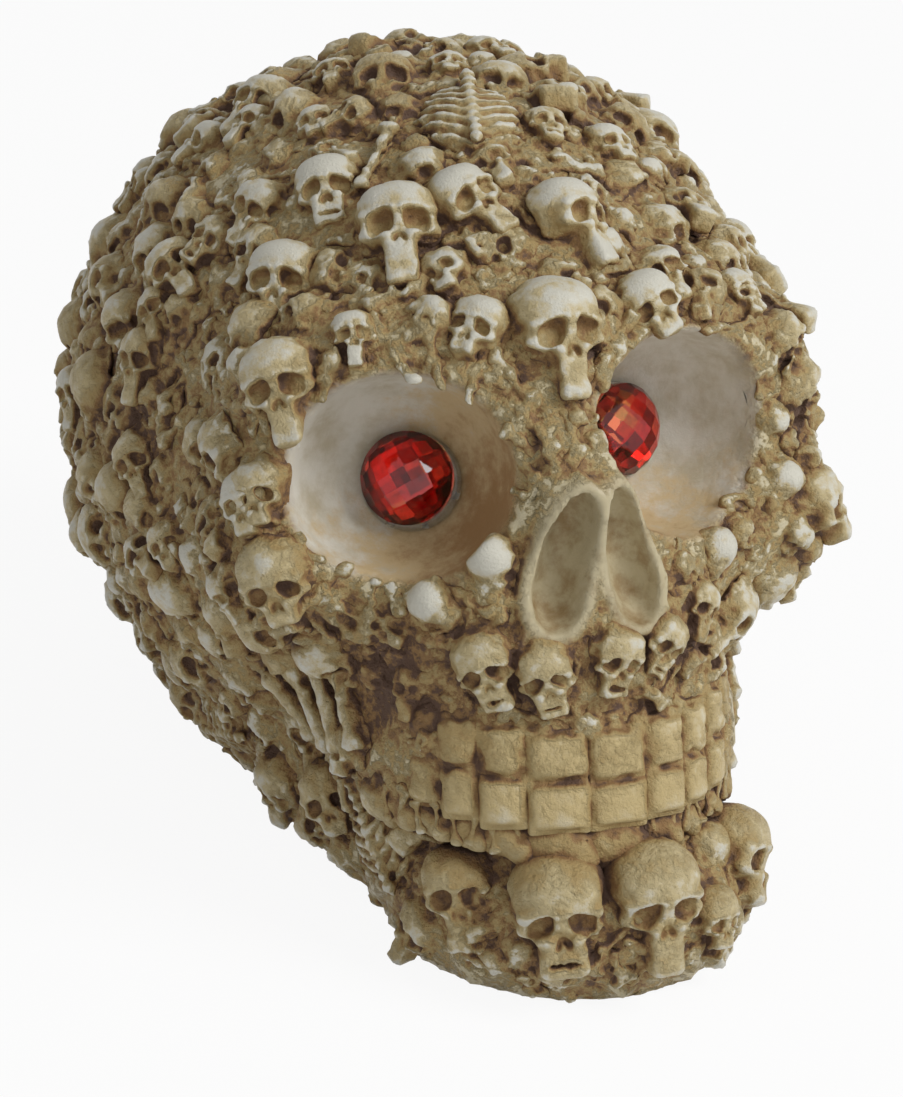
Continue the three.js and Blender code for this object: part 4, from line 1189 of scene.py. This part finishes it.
# Forms of the hand-pressed paste and of wear: pitch, height and the seed of their noise
PASTE_FORMS = {
    "coarse": (5 * MM, 2.8 * MM, 11),
    "middle": (2.6 * MM, 1.5 * MM, 23),
    "wrinkles": (2.4 * MM, 1.1 * MM, 31),
    "fine": (1.1 * MM, 0.2 * MM, 37),
    "worn": (3.4 * MM, 0.3 * MM, 41),
    "worn_fine": (1.5 * MM, 0.16 * MM, 43),
    "folds": (10 * MM, 0.9 * MM, 53),
    "folds_fine": (3.5 * MM, 0.15 * MM, 59),
}
FOLD_STRETCH = (1, 1, 1.6)
PASTE_TOP = 2.4 * MM
SMEAR_TOP = 5 * MM
BURIED_DEPTH = 3 * MM
OUTER_DEPTH = 4 * MM
RIM_WIDTH = 3 * MM
FADE = 2 * MM
SHARP_FADE = 1 * MM
NOSE_SMOOTH = 1.3 * MM
TOOTH_WRINKLING = 0.3


def fade(distance, length):
    return np.clip(distance / length, 0, 1)


def lumps(points, name, level):
    pitch, height, seed = PASTE_FORMS[name]
    return (level - pebbles(points, pitch, seed)) * height


def creases(points, name, level):
    pitch, height, seed = PASTE_FORMS[name]
    return (level - np.abs(swell(points, pitch, seed))) * height


def waves(points, name):
    pitch, height, seed = PASTE_FORMS[name]
    return swell(points, pitch, seed) * height


def roughen(mesh, is_shell, tints, wrinkling=1):
    """Hand-pressed paste is lumpy, and the domes and bones are worn nearly smooth."""
    points, normals = points_and_normals(mesh)
    height = form_distance(columns(points)) - PASTE_THICKNESS
    sockets = sockets_distance(columns(points))
    bowls = np.minimum(sockets, nose_distance(columns(points)) - NOSE_SMOOTH)
    ground = fade(moved(points, HEAD_MATRIX)[:, 2], FADE)
    rough = fade(bowls, FADE) * np.clip(1 + (height + BURIED_DEPTH) / FADE, 0, 1) * ground
    outer = fade(height + OUTER_DEPTH, FADE) * ground
    wear = np.clip(0.3 + 0.9 * tints, 0.1, 1.3)
    pressed = lumps(points, "middle", 0.5) + (1 if is_shell else 0.5) * lumps(points, "coarse", 0.55)
    push = np.clip(1 - height / PASTE_TOP, 0, 1) * rough * pressed
    smeared = np.clip(1.15 - height / SMEAR_TOP, 0, 1) * rough * np.clip(0.4 + wear, 0, 1)
    push += wrinkling * smeared * (creases(points, "wrinkles", 0.25) + waves(points, "fine"))
    worn = wear * (waves(points, "worn") + waves(points, "worn_fine"))
    push += worn * outer * fade(bowls, SHARP_FADE)
    folds = creases(points * FOLD_STRETCH, "folds", 0.3) + waves(points, "folds_fine")
    inside = np.clip(1 - bowls / FADE, 0, 1) * np.clip(sockets / SHARP_FADE + 3, 0, 1)
    push += folds * inside * (np.abs(bowls) < RIM_WIDTH) * outer
    write_points(mesh, points + normals * push[:, None])


shaded_recess_rows = np.array(SHADED_RECESS_PLACES, float)
SHADED_RECESS_MIDDLES = perches_in_photo(shaded_recess_rows[:, :2])[:, :3, 3]
SHADED_RECESS_REACHES = shaded_recess_rows[:, 2] / PIXELS_PER_MM * MM
SHADED_RECESS_STRENGTHS = shaded_recess_rows[:, 3]


# Painted shade in some recesses, added to the wash level of each point
def painted_recess_shade_at(points):
    total = np.zeros(len(points))
    for middle, reach, strength in zip(SHADED_RECESS_MIDDLES, SHADED_RECESS_REACHES, SHADED_RECESS_STRENGTHS):
        total += strength * np.exp(-((points - middle) ** 2).sum(axis=1) / reach ** 2)
    return total


NEAR_LOOK = 1.3 * MM
WIDE_LOOK = 4 * MM
HEIGHT_RANGE = 10 * MM
SMOOTH_FADE = 1.5 * MM


def hollowness_of(mesh, points, normals):
    """How far a point lies below its neighbours, in shares of the mesh's usual edge."""
    one, other = edge_ends(mesh)
    usual_edge = np.linalg.norm(points[one] - points[other], axis=1).mean()
    hollowness = ((neighbour_mean(mesh, points) - points) * normals).sum(axis=1) / usual_edge
    for _ in range(2):
        hollowness = neighbour_mean(mesh, np.clip(hollowness, -0.2, 0.3))
    return hollowness


def add_layer(mesh, label, kind, field, values):
    layer = mesh.attributes.new(label, kind, "POINT")
    layer.data.foreach_set(field, values.astype(np.float32).ravel())


def record_relief(mesh, tints):
    """What the materials need to know of each point, as layers of the mesh."""
    points, normals = points_and_normals(mesh)
    near = read_off(NEAR_CELLS, points + normals * NEAR_LOOK)
    wide = read_off(WIDE_CELLS, points + normals * WIDE_LOOK)
    height = (form_distance(columns(points)) - PASTE_THICKNESS) / HEIGHT_RANGE + 0.5
    hollowness = hollowness_of(mesh, points, normals) * 2 + 0.5
    add_layer(mesh, "relief", "FLOAT_COLOR", "color", np.stack([hollowness, near, height, wide], axis=1))
    outward = unit((points - CORE) / HEAD_SIZE ** 2)
    nose = nose_distance(columns(points)) - NOSE_SMOOTH
    layers = {
        "bowl": 1 - sockets_distance(columns(points)) / SMOOTH_FADE,
        "nose": 1 - nose / SMOOTH_FADE,
        "flank": 1 - (normals * outward).sum(axis=1),
    }
    for label, values in layers.items():
        add_layer(mesh, label, "FLOAT", "value", np.clip(values, 0, 1))
    # Browner towards the nose: partly stain, partly painted shade on each bowl's steep inner wall; browner
    # where it faces up: stain
    stain_and_shade = np.clip(normals[:, 0] * np.sign(points[:, 0]), 0, 1) + 0.6 * np.clip(normals[:, 2], 0, 1)
    add_layer(mesh, "stain_and_shade", "FLOAT", "value", stain_and_shade)
    # The tint layer is each piece's own wash level plus patches of painted shade in some recesses
    add_layer(mesh, "tint", "FLOAT", "value", tints + painted_recess_shade_at(points))


def add_object(name, mesh, replaced=()):
    piece = placed(name, mesh)
    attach(piece, "root")
    if replaced:
        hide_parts(*replaced)
    return piece


def lay_back(mesh):
    mesh.transform(Matrix(HEAD_MATRIX))


def thinned(mesh, triangles):
    """The same surface with fewer faces where it is smooth."""
    helper = placed("helper", mesh)
    modifier = helper.modifiers.new("thin", "DECIMATE")
    corners = len(mesh.loops) - 2 * len(mesh.polygons)
    modifier.ratio = min(triangles / corners, 1)
    modifier.use_collapse_triangulate = True
    depsgraph = bpy.context.evaluated_depsgraph_get()
    result = bpy.data.meshes.new_from_object(helper.evaluated_get(depsgraph))
    bpy.data.objects.remove(helper)
    result.shade_smooth()
    return result


def finish_shell():
    mesh = mesh_of("skull_shell_cast", *shell_surface())
    roughen(mesh, True, np.full(len(mesh.vertices), SHELL_WEAR))
    mesh = thinned(mesh, SHELL_TRIANGLES)
    record_relief(mesh, np.full(len(mesh.vertices), SHELL_TINT))
    lay_back(mesh)
    return add_object("skull_shell_cast", mesh, ["skull_shell"])


def finish_relief(name, heap):
    mesh = mesh_of(name, *heap.surface())
    tints = np.concatenate(heap.tints)
    is_teeth = name.endswith("_teeth")
    roughen(mesh, False, tints, TOOTH_WRINKLING if is_teeth else 1)
    record_relief(mesh, tints)
    lay_back(mesh)
    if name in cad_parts:
        return add_object(f"{name}_cast", mesh, [name])
    return add_object(name, mesh)


shell = finish_shell()
reliefs = {name: finish_relief(name, heap) for name, heap in heaps.items()}


# Nodes of a material or of a group
def feed(tree, node, values):
    """Gives a node's inputs their values, or links them to other sockets."""
    for key, value in values.items():
        if isinstance(value, bpy.types.NodeSocket):
            tree.links.new(value, node.inputs[key])
        else:
            node.inputs[key].default_value = value


def add_node(tree, kind, inputs=None, **settings):
    node = tree.nodes.new(kind)
    for key, value in settings.items():
        setattr(node, key, value)
    feed(tree, node, inputs or {})
    return node


def maths(tree, operation, one, other=0.0):
    return add_node(tree, "ShaderNodeMath", {0: one, 1: other}, operation=operation).outputs[0]


def ramped(tree, value, low, high):
    inputs = {"Value": value, "From Min": low, "From Max": high}
    return add_node(tree, "ShaderNodeMapRange", inputs, interpolation_type="SMOOTHSTEP").outputs["Result"]


def mixed(tree, share, one, other, blend_type="MIX"):
    node = add_node(tree, "ShaderNodeMix", data_type="RGBA", blend_type=blend_type)
    feed(tree, node, {0: share, 6: one, 7: other})
    return node.outputs[2]


def layered(tree, value, colour, layers):
    """Colours laid over each other where a value climbs from the low to the high end of each."""
    for low, high, layer in layers:
        colour = mixed(tree, ramped(tree, value, low, high), colour, layer)
    return colour


def weighed(tree, value, usual, weight):
    """How far a value is from its usual one, times its weight."""
    return maths(tree, "MULTIPLY", maths(tree, "SUBTRACT", value, usual), weight)


def mesh_layer(tree, label):
    return add_node(tree, "ShaderNodeAttribute", attribute_name=label)


# Noises of the finishes: scale, detail and roughness
NOISES = {
    "broad": (28, 2, 0.55),
    "patches": (110, 4, 0.55),
    "wrinkles": (330, 4, 0.6),
    "specks": (520, 5, 0.65),
    "grain": (2300, 3, 0.55),
    "bowl_clouds": (90, 5, 0.65),
    "bowl_streaks": (160, 6, 0.7),
    "nose_murk": (190, 5, 0.65),
    "glue_clouds": (400, 3, 0.55),
    "foil_wear": (600, 3, 0.55),
    "scuffs": (1500, 2, 0.55),
}


def noise(tree, name):
    scale, detail, roughness = NOISES[name]
    place = add_node(tree, "ShaderNodeTexCoord").outputs["Object"]
    inputs = {"Vector": place, "Scale": scale, "Detail": detail, "Roughness": roughness}
    return add_node(tree, "ShaderNodeTexNoise", inputs).outputs["Fac"]


def screen(red, green, blue):
    """A colour as a screen shows it, from 0 to 255, in the numbers that shaders use."""
    shares = [value / 255 for value in (red, green, blue)]
    return (*((s / 12.92 if s <= 0.04045 else ((s + 0.055) / 1.055) ** 2.4) for s in shares), 1)


def group_tree(name, inputs, outputs):
    tree = bpy.data.node_groups.new(name, "ShaderNodeTree")
    for label, kind, value in inputs:
        socket = tree.interface.new_socket(label, in_out="INPUT", socket_type=kind)
        socket.default_value = value
    for label, kind in outputs:
        tree.interface.new_socket(label, in_out="OUTPUT", socket_type=kind)
    return tree, tree.nodes.new("NodeGroupInput"), tree.nodes.new("NodeGroupOutput")


WHITE = (1, 1, 1, 1)
CLEAN_IVORY = screen(208, 206, 194)
CREAM = screen(196, 180, 138)
WARM_TAN = screen(174, 151, 103)
BROWN_WASH = screen(146, 114, 75)
DARK_WASH = screen(100, 77, 63)
GRAIN_TINT = screen(214, 200, 172)
CRUST_CLEAN = screen(202, 192, 162)
TOOTH_CLEAN = screen(208, 199, 172)
TOOTH_CREAM = screen(194, 174, 126)
BOWL_PALE = screen(212, 208, 196)
BOWL_CLOUDY = screen(184, 174, 150)
# Bowl browns: partly stain, partly painted shade on the steep wall towards the nose
BOWL_STAIN_AND_SHADE = screen(198, 176, 136)
BOWL_DEEP_STAIN_AND_SHADE = screen(162, 128, 88)
# Nose pit browns: a stain, and painted shade where the pit closes in
NOSE_PALE = screen(184, 172, 140)
NOSE_MURK_AND_SHADE = screen(146, 123, 86)
NOSE_DEEP_STAIN_AND_SHADE = screen(104, 74, 46)
# Facet colours: the red is the acrylic's own, the near black and the orange are painted reflections and
# glints
FACET_DARK_REFLECTION = (0.12, 0.008, 0.01, 1)
FACET_RED = (0.86, 0.06, 0.04, 1)
FACET_ORANGE_GLINT = (1, 0.85, 0.25, 1)
GLUE_CLEAR = (0.93, 0.93, 0.9, 1)
FOIL_BRIGHT = (0.9, 0.88, 0.84, 1)
FOIL_WORN = (0.5, 0.46, 0.44, 1)
FLOOR_PALE = (0.86, 0.86, 0.86, 1)
BUMP_DEPTH = 1.1 * MM
SCUFF_DEPTH = 0.02 * MM


# What makes a place hold brown wash, with its usual value and its weight; the tint also brings painted shade
# into some recesses
WASH_SIGNS = {
    "near": (0.0, 2.0),
    "wide": (0.0, 0.8),
    "hollowness": (0.5, 1.3),
    "sunk": (0.0, 1.3),
    "broad": (0.5, 0.8),
    "tint": (0.5, 0.4),
    "flank": (0.0, 0.5),
}
# Where each colour of the wash starts and where it covers
WASH_LAYERS = [("Cream", 0.0, 0.42), ("Tan", 0.45, 1.0), ("Brown", 1.0, 1.55), ("Dark", 1.55, 2.1)]


def make_antiquing():
    """Ivory resin whose hollows hold brown wash and whose high spots are wiped clean. Through the tint layer
    some recesses also get painted shade.
    """
    colour, number = "NodeSocketColor", "NodeSocketFloat"
    tree, given, made = group_tree(
        "antiqued ivory",
        [
            ("Clean", colour, CLEAN_IVORY), ("Cream", colour, CREAM), ("Tan", colour, WARM_TAN),
            ("Brown", colour, BROWN_WASH), ("Dark", colour, DARK_WASH),
            ("Wash", number, 0.0), ("Grime", number, 1.0),
        ],
        [("Color", colour), ("Roughness", number), ("Height", number)],
    )
    relief = mesh_layer(tree, "relief")
    parts = add_node(tree, "ShaderNodeSeparateColor", {"Color": relief.outputs["Color"]})
    hollowness, near, height = (parts.outputs[k] for k in range(3))
    specks, grain = noise(tree, "specks"), noise(tree, "grain")
    low_lying = ramped(tree, maths(tree, "SUBTRACT", 1.0, height), 0.1, 0.5)
    uneven = maths(tree, "MULTIPLY", noise(tree, "patches"), 0.8)
    uneven = maths(tree, "ADD", uneven, maths(tree, "MULTIPLY", ramped(tree, specks, 0.36, 0.66), 0.6))
    uneven = weighed(tree, uneven, 0.7, given.outputs["Grime"])
    unevenness = maths(tree, "ADD", 0.35, maths(tree, "MULTIPLY", low_lying, 0.9))
    uneven = maths(tree, "MULTIPLY", uneven, unevenness)
    cavity = maths(tree, "ADD", uneven, given.outputs["Wash"])
    signs = {
        "near": near,
        "wide": relief.outputs["Alpha"],
        "hollowness": hollowness,
        "sunk": maths(tree, "MAXIMUM", maths(tree, "SUBTRACT", 0.75, height), 0.0),
        "broad": noise(tree, "broad"),
        # The tint is each piece's wash level plus painted shade in some recesses
        "tint": mesh_layer(tree, "tint").outputs["Fac"],
        "flank": ramped(tree, mesh_layer(tree, "flank").outputs["Fac"], 0.05, 0.9),
    }
    for label, (usual, weight) in WASH_SIGNS.items():
        cavity = maths(tree, "ADD", cavity, weighed(tree, signs[label], usual, weight))
    layers = [(low, high, given.outputs[label]) for label, low, high in WASH_LAYERS]
    result = layered(tree, cavity, given.outputs["Clean"], layers)
    tint = mixed(tree, maths(tree, "MULTIPLY", grain, 0.25), WHITE, GRAIN_TINT)
    tree.links.new(mixed(tree, 1.0, result, tint, "MULTIPLY"), made.inputs["Color"])
    dullness = maths(tree, "MULTIPLY", ramped(tree, cavity, 0.4, 1.3), 0.28)
    tree.links.new(maths(tree, "ADD", 0.42, dullness), made.inputs["Roughness"])
    ridges = maths(tree, "ABSOLUTE", weighed(tree, noise(tree, "wrinkles"), 0.5, 4.0))
    wrinkles = maths(tree, "MULTIPLY", maths(tree, "SUBTRACT", 1.0, ridges), 0.5)
    pits = maths(tree, "MULTIPLY", ramped(tree, cavity, 0.25, 0.9), maths(tree, "ADD", specks, wrinkles))
    tree.links.new(maths(tree, "ADD", maths(tree, "MULTIPLY", grain, 0.3), pits), made.inputs["Height"])
    return tree


ANTIQUING = make_antiquing()


def bare_tree(owner):
    owner.use_nodes = True
    owner.node_tree.nodes.clear()
    return owner.node_tree


def new_material(name):
    material = bpy.data.materials.new(name)
    tree = bare_tree(material)
    shader = add_node(tree, "ShaderNodeBsdfPrincipled")
    add_node(tree, "ShaderNodeOutputMaterial", {"Surface": shader.outputs["BSDF"]})
    return material, tree, shader


def bump(tree, height, depth, strength):
    inputs = {"Height": height, "Distance": depth, "Strength": strength}
    return add_node(tree, "ShaderNodeBump", inputs).outputs["Normal"]


def bowl_colour(tree):
    """Smooth pale resin in clouds, browner where it faces up as a stain, and browner towards the nose,
    partly as a stain and partly as painted shade on the bowl's steep inner wall.
    """
    cloudy = ramped(tree, noise(tree, "bowl_clouds"), 0.35, 0.7)
    pale = mixed(tree, cloudy, BOWL_PALE, BOWL_CLOUDY)
    streaks = weighed(tree, noise(tree, "bowl_streaks"), 0.5, 1.5)
    stain_and_shade_level = maths(tree, "ADD", mesh_layer(tree, "stain_and_shade").outputs["Fac"], streaks)
    return layered(tree, stain_and_shade_level, pale, [(0.2, 0.7, BOWL_STAIN_AND_SHADE), (0.65, 1.2, BOWL_DEEP_STAIN_AND_SHADE)])


def nose_stain_and_shade(tree):
    """Smooth resin that gets browner and darker where the pit closes in: a brown stain with random murk, and
    painted shade deep in the pit.
    """
    relief = mesh_layer(tree, "relief")
    near = add_node(tree, "ShaderNodeSeparateColor", {"Color": relief.outputs["Color"]}).outputs[1]
    depth_shade_and_murk = maths(tree, "ADD", near, weighed(tree, noise(tree, "nose_murk"), 0.5, 1.4))
    return layered(tree, depth_shade_and_murk, NOSE_PALE, [(0.1, 0.6, NOSE_MURK_AND_SHADE), (0.5, 0.95, NOSE_DEEP_STAIN_AND_SHADE)])


def smooth_openings(tree, colour, relief_height):
    """The bowls of the eyes and the nose pits have colours of their own and hardly any wrinkles."""
    bowl, nose = (mesh_layer(tree, label).outputs["Fac"] for label in ("bowl", "nose"))
    colour = mixed(tree, bowl, colour, bowl_colour(tree))
    colour = mixed(tree, nose, colour, nose_stain_and_shade(tree))
    smoothed = maths(tree, "MULTIPLY", maths(tree, "MAXIMUM", bowl, nose), 0.85)
    return colour, maths(tree, "MULTIPLY", relief_height, maths(tree, "SUBTRACT", 1.0, smoothed))


def ivory_resin(name, wash, grime, clean=CLEAN_IVORY, cream=CREAM, retouch=None):
    material, tree, shader = new_material(name)
    finish = add_node(tree, "ShaderNodeGroup", node_tree=ANTIQUING)
    feed(tree, finish, {"Clean": clean, "Cream": cream, "Wash": wash, "Grime": grime})
    colour, relief_height = finish.outputs["Color"], finish.outputs["Height"]
    if retouch:
        colour, relief_height = retouch(tree, colour, relief_height)
    feed(tree, shader, {
        "Base Color": colour, "Roughness": finish.outputs["Roughness"],
        "Normal": bump(tree, relief_height, BUMP_DEPTH, 0.8),
        "Specular IOR Level": 0.3, "Coat Weight": 0.06, "Coat Roughness": 0.35,
    })
    return material


CRUST_RESIN = ivory_resin("crust resin", wash=-0.08, grime=1.35, clean=CRUST_CLEAN, retouch=smooth_openings)
RELIEF_RESIN = ivory_resin("relief resin", wash=0.0, grime=1.0)
TOOTH_RESIN = ivory_resin("tooth resin", wash=0.22, grime=0.5, clean=TOOTH_CLEAN, cream=TOOTH_CREAM)

shell.data.materials.append(CRUST_RESIN)
for name, piece in reliefs.items():
    piece.data.materials.append(TOOTH_RESIN if name.endswith("_teeth") else RELIEF_RESIN)


# The stones with their foils and glue
def foil_frame(foil):
    """The foil's middle, with Z away from the bowl and Y upwards."""
    points = np.array([corner.co for corner in foil.data.vertices])
    middle = points.mean(axis=0)
    outward = np.linalg.svd(points - middle)[2][2]
    outward = outward if outward[1] < 0 else -outward
    across = unit(np.cross((0, 0, 1), outward))
    return frame_of(across, np.cross(outward, across), outward, middle)


facet_chance = np.random.default_rng(3)


def cut_stone(name):
    """A round stone with a flat back, whose dome is ground to a chequer of flats."""
    radius = STONE_DIAMETER / 2
    cap = STONE_HEIGHT - GIRDLE
    dome_radius = (radius ** 2 + cap ** 2) / (2 * cap)
    body = bmesh.new()
    bmesh.ops.create_cone(
        body, cap_ends=True, segments=STONE_SIDES, radius1=radius, radius2=radius, depth=STONE_HEIGHT,
        matrix=Matrix.Translation((0, 0, STONE_HEIGHT / 2)),
    )
    for i in range(-FACET_RANGE, FACET_RANGE + 1):
        for j in range(-FACET_RANGE, FACET_RANGE + 1):
            lean = Vector((math.sin(i * FACET_PITCH), math.sin(j * FACET_PITCH), 0))
            if lean.length > radius / dome_radius:
                continue
            normal = Vector((lean.x, lean.y, math.sqrt(1 - lean.length_squared)))
            normal.rotate(Matrix.Rotation(FACET_TURN, 3, "Z"))
            touch = normal * dome_radius + Vector((0, 0, STONE_HEIGHT - dome_radius))
            everything = body.verts[:] + body.edges[:] + body.faces[:]
            cut = bmesh.ops.bisect_plane(
                body, geom=everything, plane_co=touch, plane_no=normal, clear_outer=True,
            )
            rim = [item for item in cut["geom_cut"] if isinstance(item, bmesh.types.BMEdge)]
            if rim:
                bmesh.ops.contextual_create(body, geom=rim)
    bmesh.ops.recalc_face_normals(body, faces=body.faces[:])
    mesh = bpy.data.meshes.new(name)
    body.to_mesh(mesh)
    body.free()
    # A random value for each facet, which picks its painted glint or painted dark reflection
    tones = mesh.attributes.new("facet", "FLOAT", "FACE")
    tones.data.foreach_set("value", facet_chance.uniform(0, 1, len(mesh.polygons)).astype(np.float32))
    return mesh


def glue_surface(stone_frame, socket):
    """Set glue that has squeezed out between the foil and the bowl."""
    low, high = -GLUE_HALF - GLUE_MARGIN, GLUE_HALF + GLUE_MARGIN
    low[2] = -GLUE_DEPTH
    axes = lattice(low, high, GLUE_VOXEL)
    x, y, z = axes
    spread = mass(axes, GLUE_PLACE, GLUE_HALF)
    points = np.stack(np.broadcast_arrays(*axes), axis=-1)
    to_upright = np.linalg.inv(HEAD_MATRIX) @ stone_frame
    bowl = mass(columns(moved(points, to_upright)), socket, SOCKET_HALF)
    seat = FOIL_THICKNESS / 2 + SEAT_DROP
    stone = np.maximum(length_of(x, y) - STONE_DIAMETER / 2 - CONTACT_GAP, -(z + seat))
    below = without(np.maximum(spread, bowl + CONTACT_GAP), stone, GLUE_BLEND)
    points, *faces = surface_of(below, low, GLUE_VOXEL)
    return moved(points, stone_frame), *faces


def glass_material(name, roughness, ior, transmission):
    material, tree, shader = new_material(name)
    feed(tree, shader, {
        "Roughness": roughness, "IOR": ior, "Transmission Weight": transmission,
        "Normal": bump(tree, noise(tree, "scuffs"), SCUFF_DEPTH, 0.2),
    })
    return material, tree, shader


def red_acrylic_with_glints():
    """Red acrylic whose facets are painted at random: some with orange glints, and some nearly black as
    painted dark reflections.
    """
    material, tree, shader = glass_material("red acrylic", roughness=0.02, ior=1.49, transmission=1.0)
    reflection_pick = mesh_layer(tree, "facet").outputs["Fac"]
    colour = layered(tree, reflection_pick, FACET_DARK_REFLECTION, [(0.15, 0.6, FACET_RED), (0.78, 0.88, FACET_ORANGE_GLINT)])
    feed(tree, shader, {"Base Color": colour})
    return material


def clear_glue():
    material, tree, shader = glass_material("clear glue", roughness=0.12, ior=1.45, transmission=0.9)
    clouds = ramped(tree, noise(tree, "glue_clouds"), 0.2, 0.8)
    darker = (*(channel * 0.82 for channel in GLUE_CLEAR[:3]), 1)
    feed(tree, shader, {"Base Color": mixed(tree, clouds, GLUE_CLEAR, darker)})
    return material


def mirror_foil():
    material, tree, shader = new_material("mirror foil")
    wear = ramped(tree, noise(tree, "foil_wear"), 0.3, 0.8)
    colour = mixed(tree, wear, FOIL_BRIGHT, FOIL_WORN)
    feed(tree, shader, {"Base Color": colour, "Metallic": 1, "Roughness": 0.12})
    return material


RED_ACRYLIC_WITH_GLINTS, CLEAR_GLUE, MIRROR_FOIL = red_acrylic_with_glints(), clear_glue(), mirror_foil()


def add_stone(side):
    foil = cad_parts[f"mirror_foil_{side}"]
    foil.data.materials.clear()
    foil.data.materials.append(MIRROR_FOIL)
    stone_frame = foil_frame(foil)
    mesh = cut_stone(f"eye_stone_{side}_cut")
    mesh.transform(Matrix(stone_frame @ lifted(FOIL_THICKNESS / 2 + CONTACT_GAP)))
    stone = add_object(f"eye_stone_{side}_cut", mesh, [f"eye_stone_{side}"])
    stone.data.materials.append(RED_ACRYLIC_WITH_GLINTS)
    glue = mesh_of(f"glue_bed_{side}_set", *glue_surface(stone_frame, SOCKET_PLACES[side]))
    bed = add_object(f"glue_bed_{side}_set", glue, [f"glue_bed_{side}"])
    bed.data.materials.append(CLEAR_GLUE)


for side in SOCKET_PLACES:
    add_stone(side)


# The room: a pale floor that runs up into a backdrop, two soft lamps and an even sky
FLOOR_HALF = 3.0
BACKDROP_HEIGHT = 2.5
SKULL_MIDDLE = (0, 0.03, 0.08)
SKY_STRENGTH = 0.38
BACKGROUND_SHARE = 0.92


def seen_as_background(tree):
    """One for what the camera, a gloss or a glass sees, and none for what lights the object."""
    rays = add_node(tree, "ShaderNodeLightPath")
    seen = maths(tree, "MAXIMUM", rays.outputs["Is Glossy Ray"], rays.outputs["Is Transmission Ray"])
    return maths(tree, "MAXIMUM", rays.outputs["Is Camera Ray"], seen)


def add_floor():
    half, top = FLOOR_HALF, BACKDROP_HEIGHT
    mesh = bpy.data.meshes.new("floor")
    corners = [
        (-half, -half, 0), (half, -half, 0), (half, half, 0), (-half, half, 0),
        (half, half, top), (-half, half, top),
    ]
    mesh.from_pydata(corners, [], [(0, 1, 2, 3), (3, 2, 4, 5)])
    floor = placed("floor", mesh)
    material = bpy.data.materials.new("pale floor")
    tree = bare_tree(material)
    matt = add_node(tree, "ShaderNodeBsdfDiffuse", {"Color": FLOOR_PALE})
    lit = add_node(tree, "ShaderNodeEmission", {"Color": WHITE, "Strength": 1.0})
    share = maths(tree, "MULTIPLY", seen_as_background(tree), BACKGROUND_SHARE)
    blend = add_node(tree, "ShaderNodeMixShader", {0: share, 1: matt.outputs[0], 2: lit.outputs[0]})
    add_node(tree, "ShaderNodeOutputMaterial", {"Surface": blend.outputs[0]})
    floor.data.materials.append(material)


def add_lamp(name, place, size, power):
    lamp = bpy.data.lights.new(name, "AREA")
    lamp.energy = power
    lamp.size = size
    holder = placed(name, lamp)
    holder.location = place
    holder.rotation_euler = (Vector(SKULL_MIDDLE) - Vector(place)).to_track_quat("-Z", "Y").to_euler()


def add_sky(strength):
    world = bpy.data.worlds.new("studio")
    tree = bare_tree(world)
    level = add_node(tree, "ShaderNodeMapRange", {
        "Value": seen_as_background(tree), "To Min": strength, "To Max": 1.0,
    })
    sky = add_node(tree, "ShaderNodeBackground", {"Color": WHITE, "Strength": level.outputs["Result"]})
    add_node(tree, "ShaderNodeOutputWorld", {"Surface": sky.outputs[0]})
    bpy.context.scene.world = world


add_floor()
add_lamp("key", place=(0.75, -0.65, 1.0), size=0.6, power=11)
add_lamp("fill", place=(-0.2, -1.1, 0.3), size=1.0, power=1.6)
add_sky(SKY_STRENGTH)

bpy.context.scene.view_settings.view_transform = "Standard"
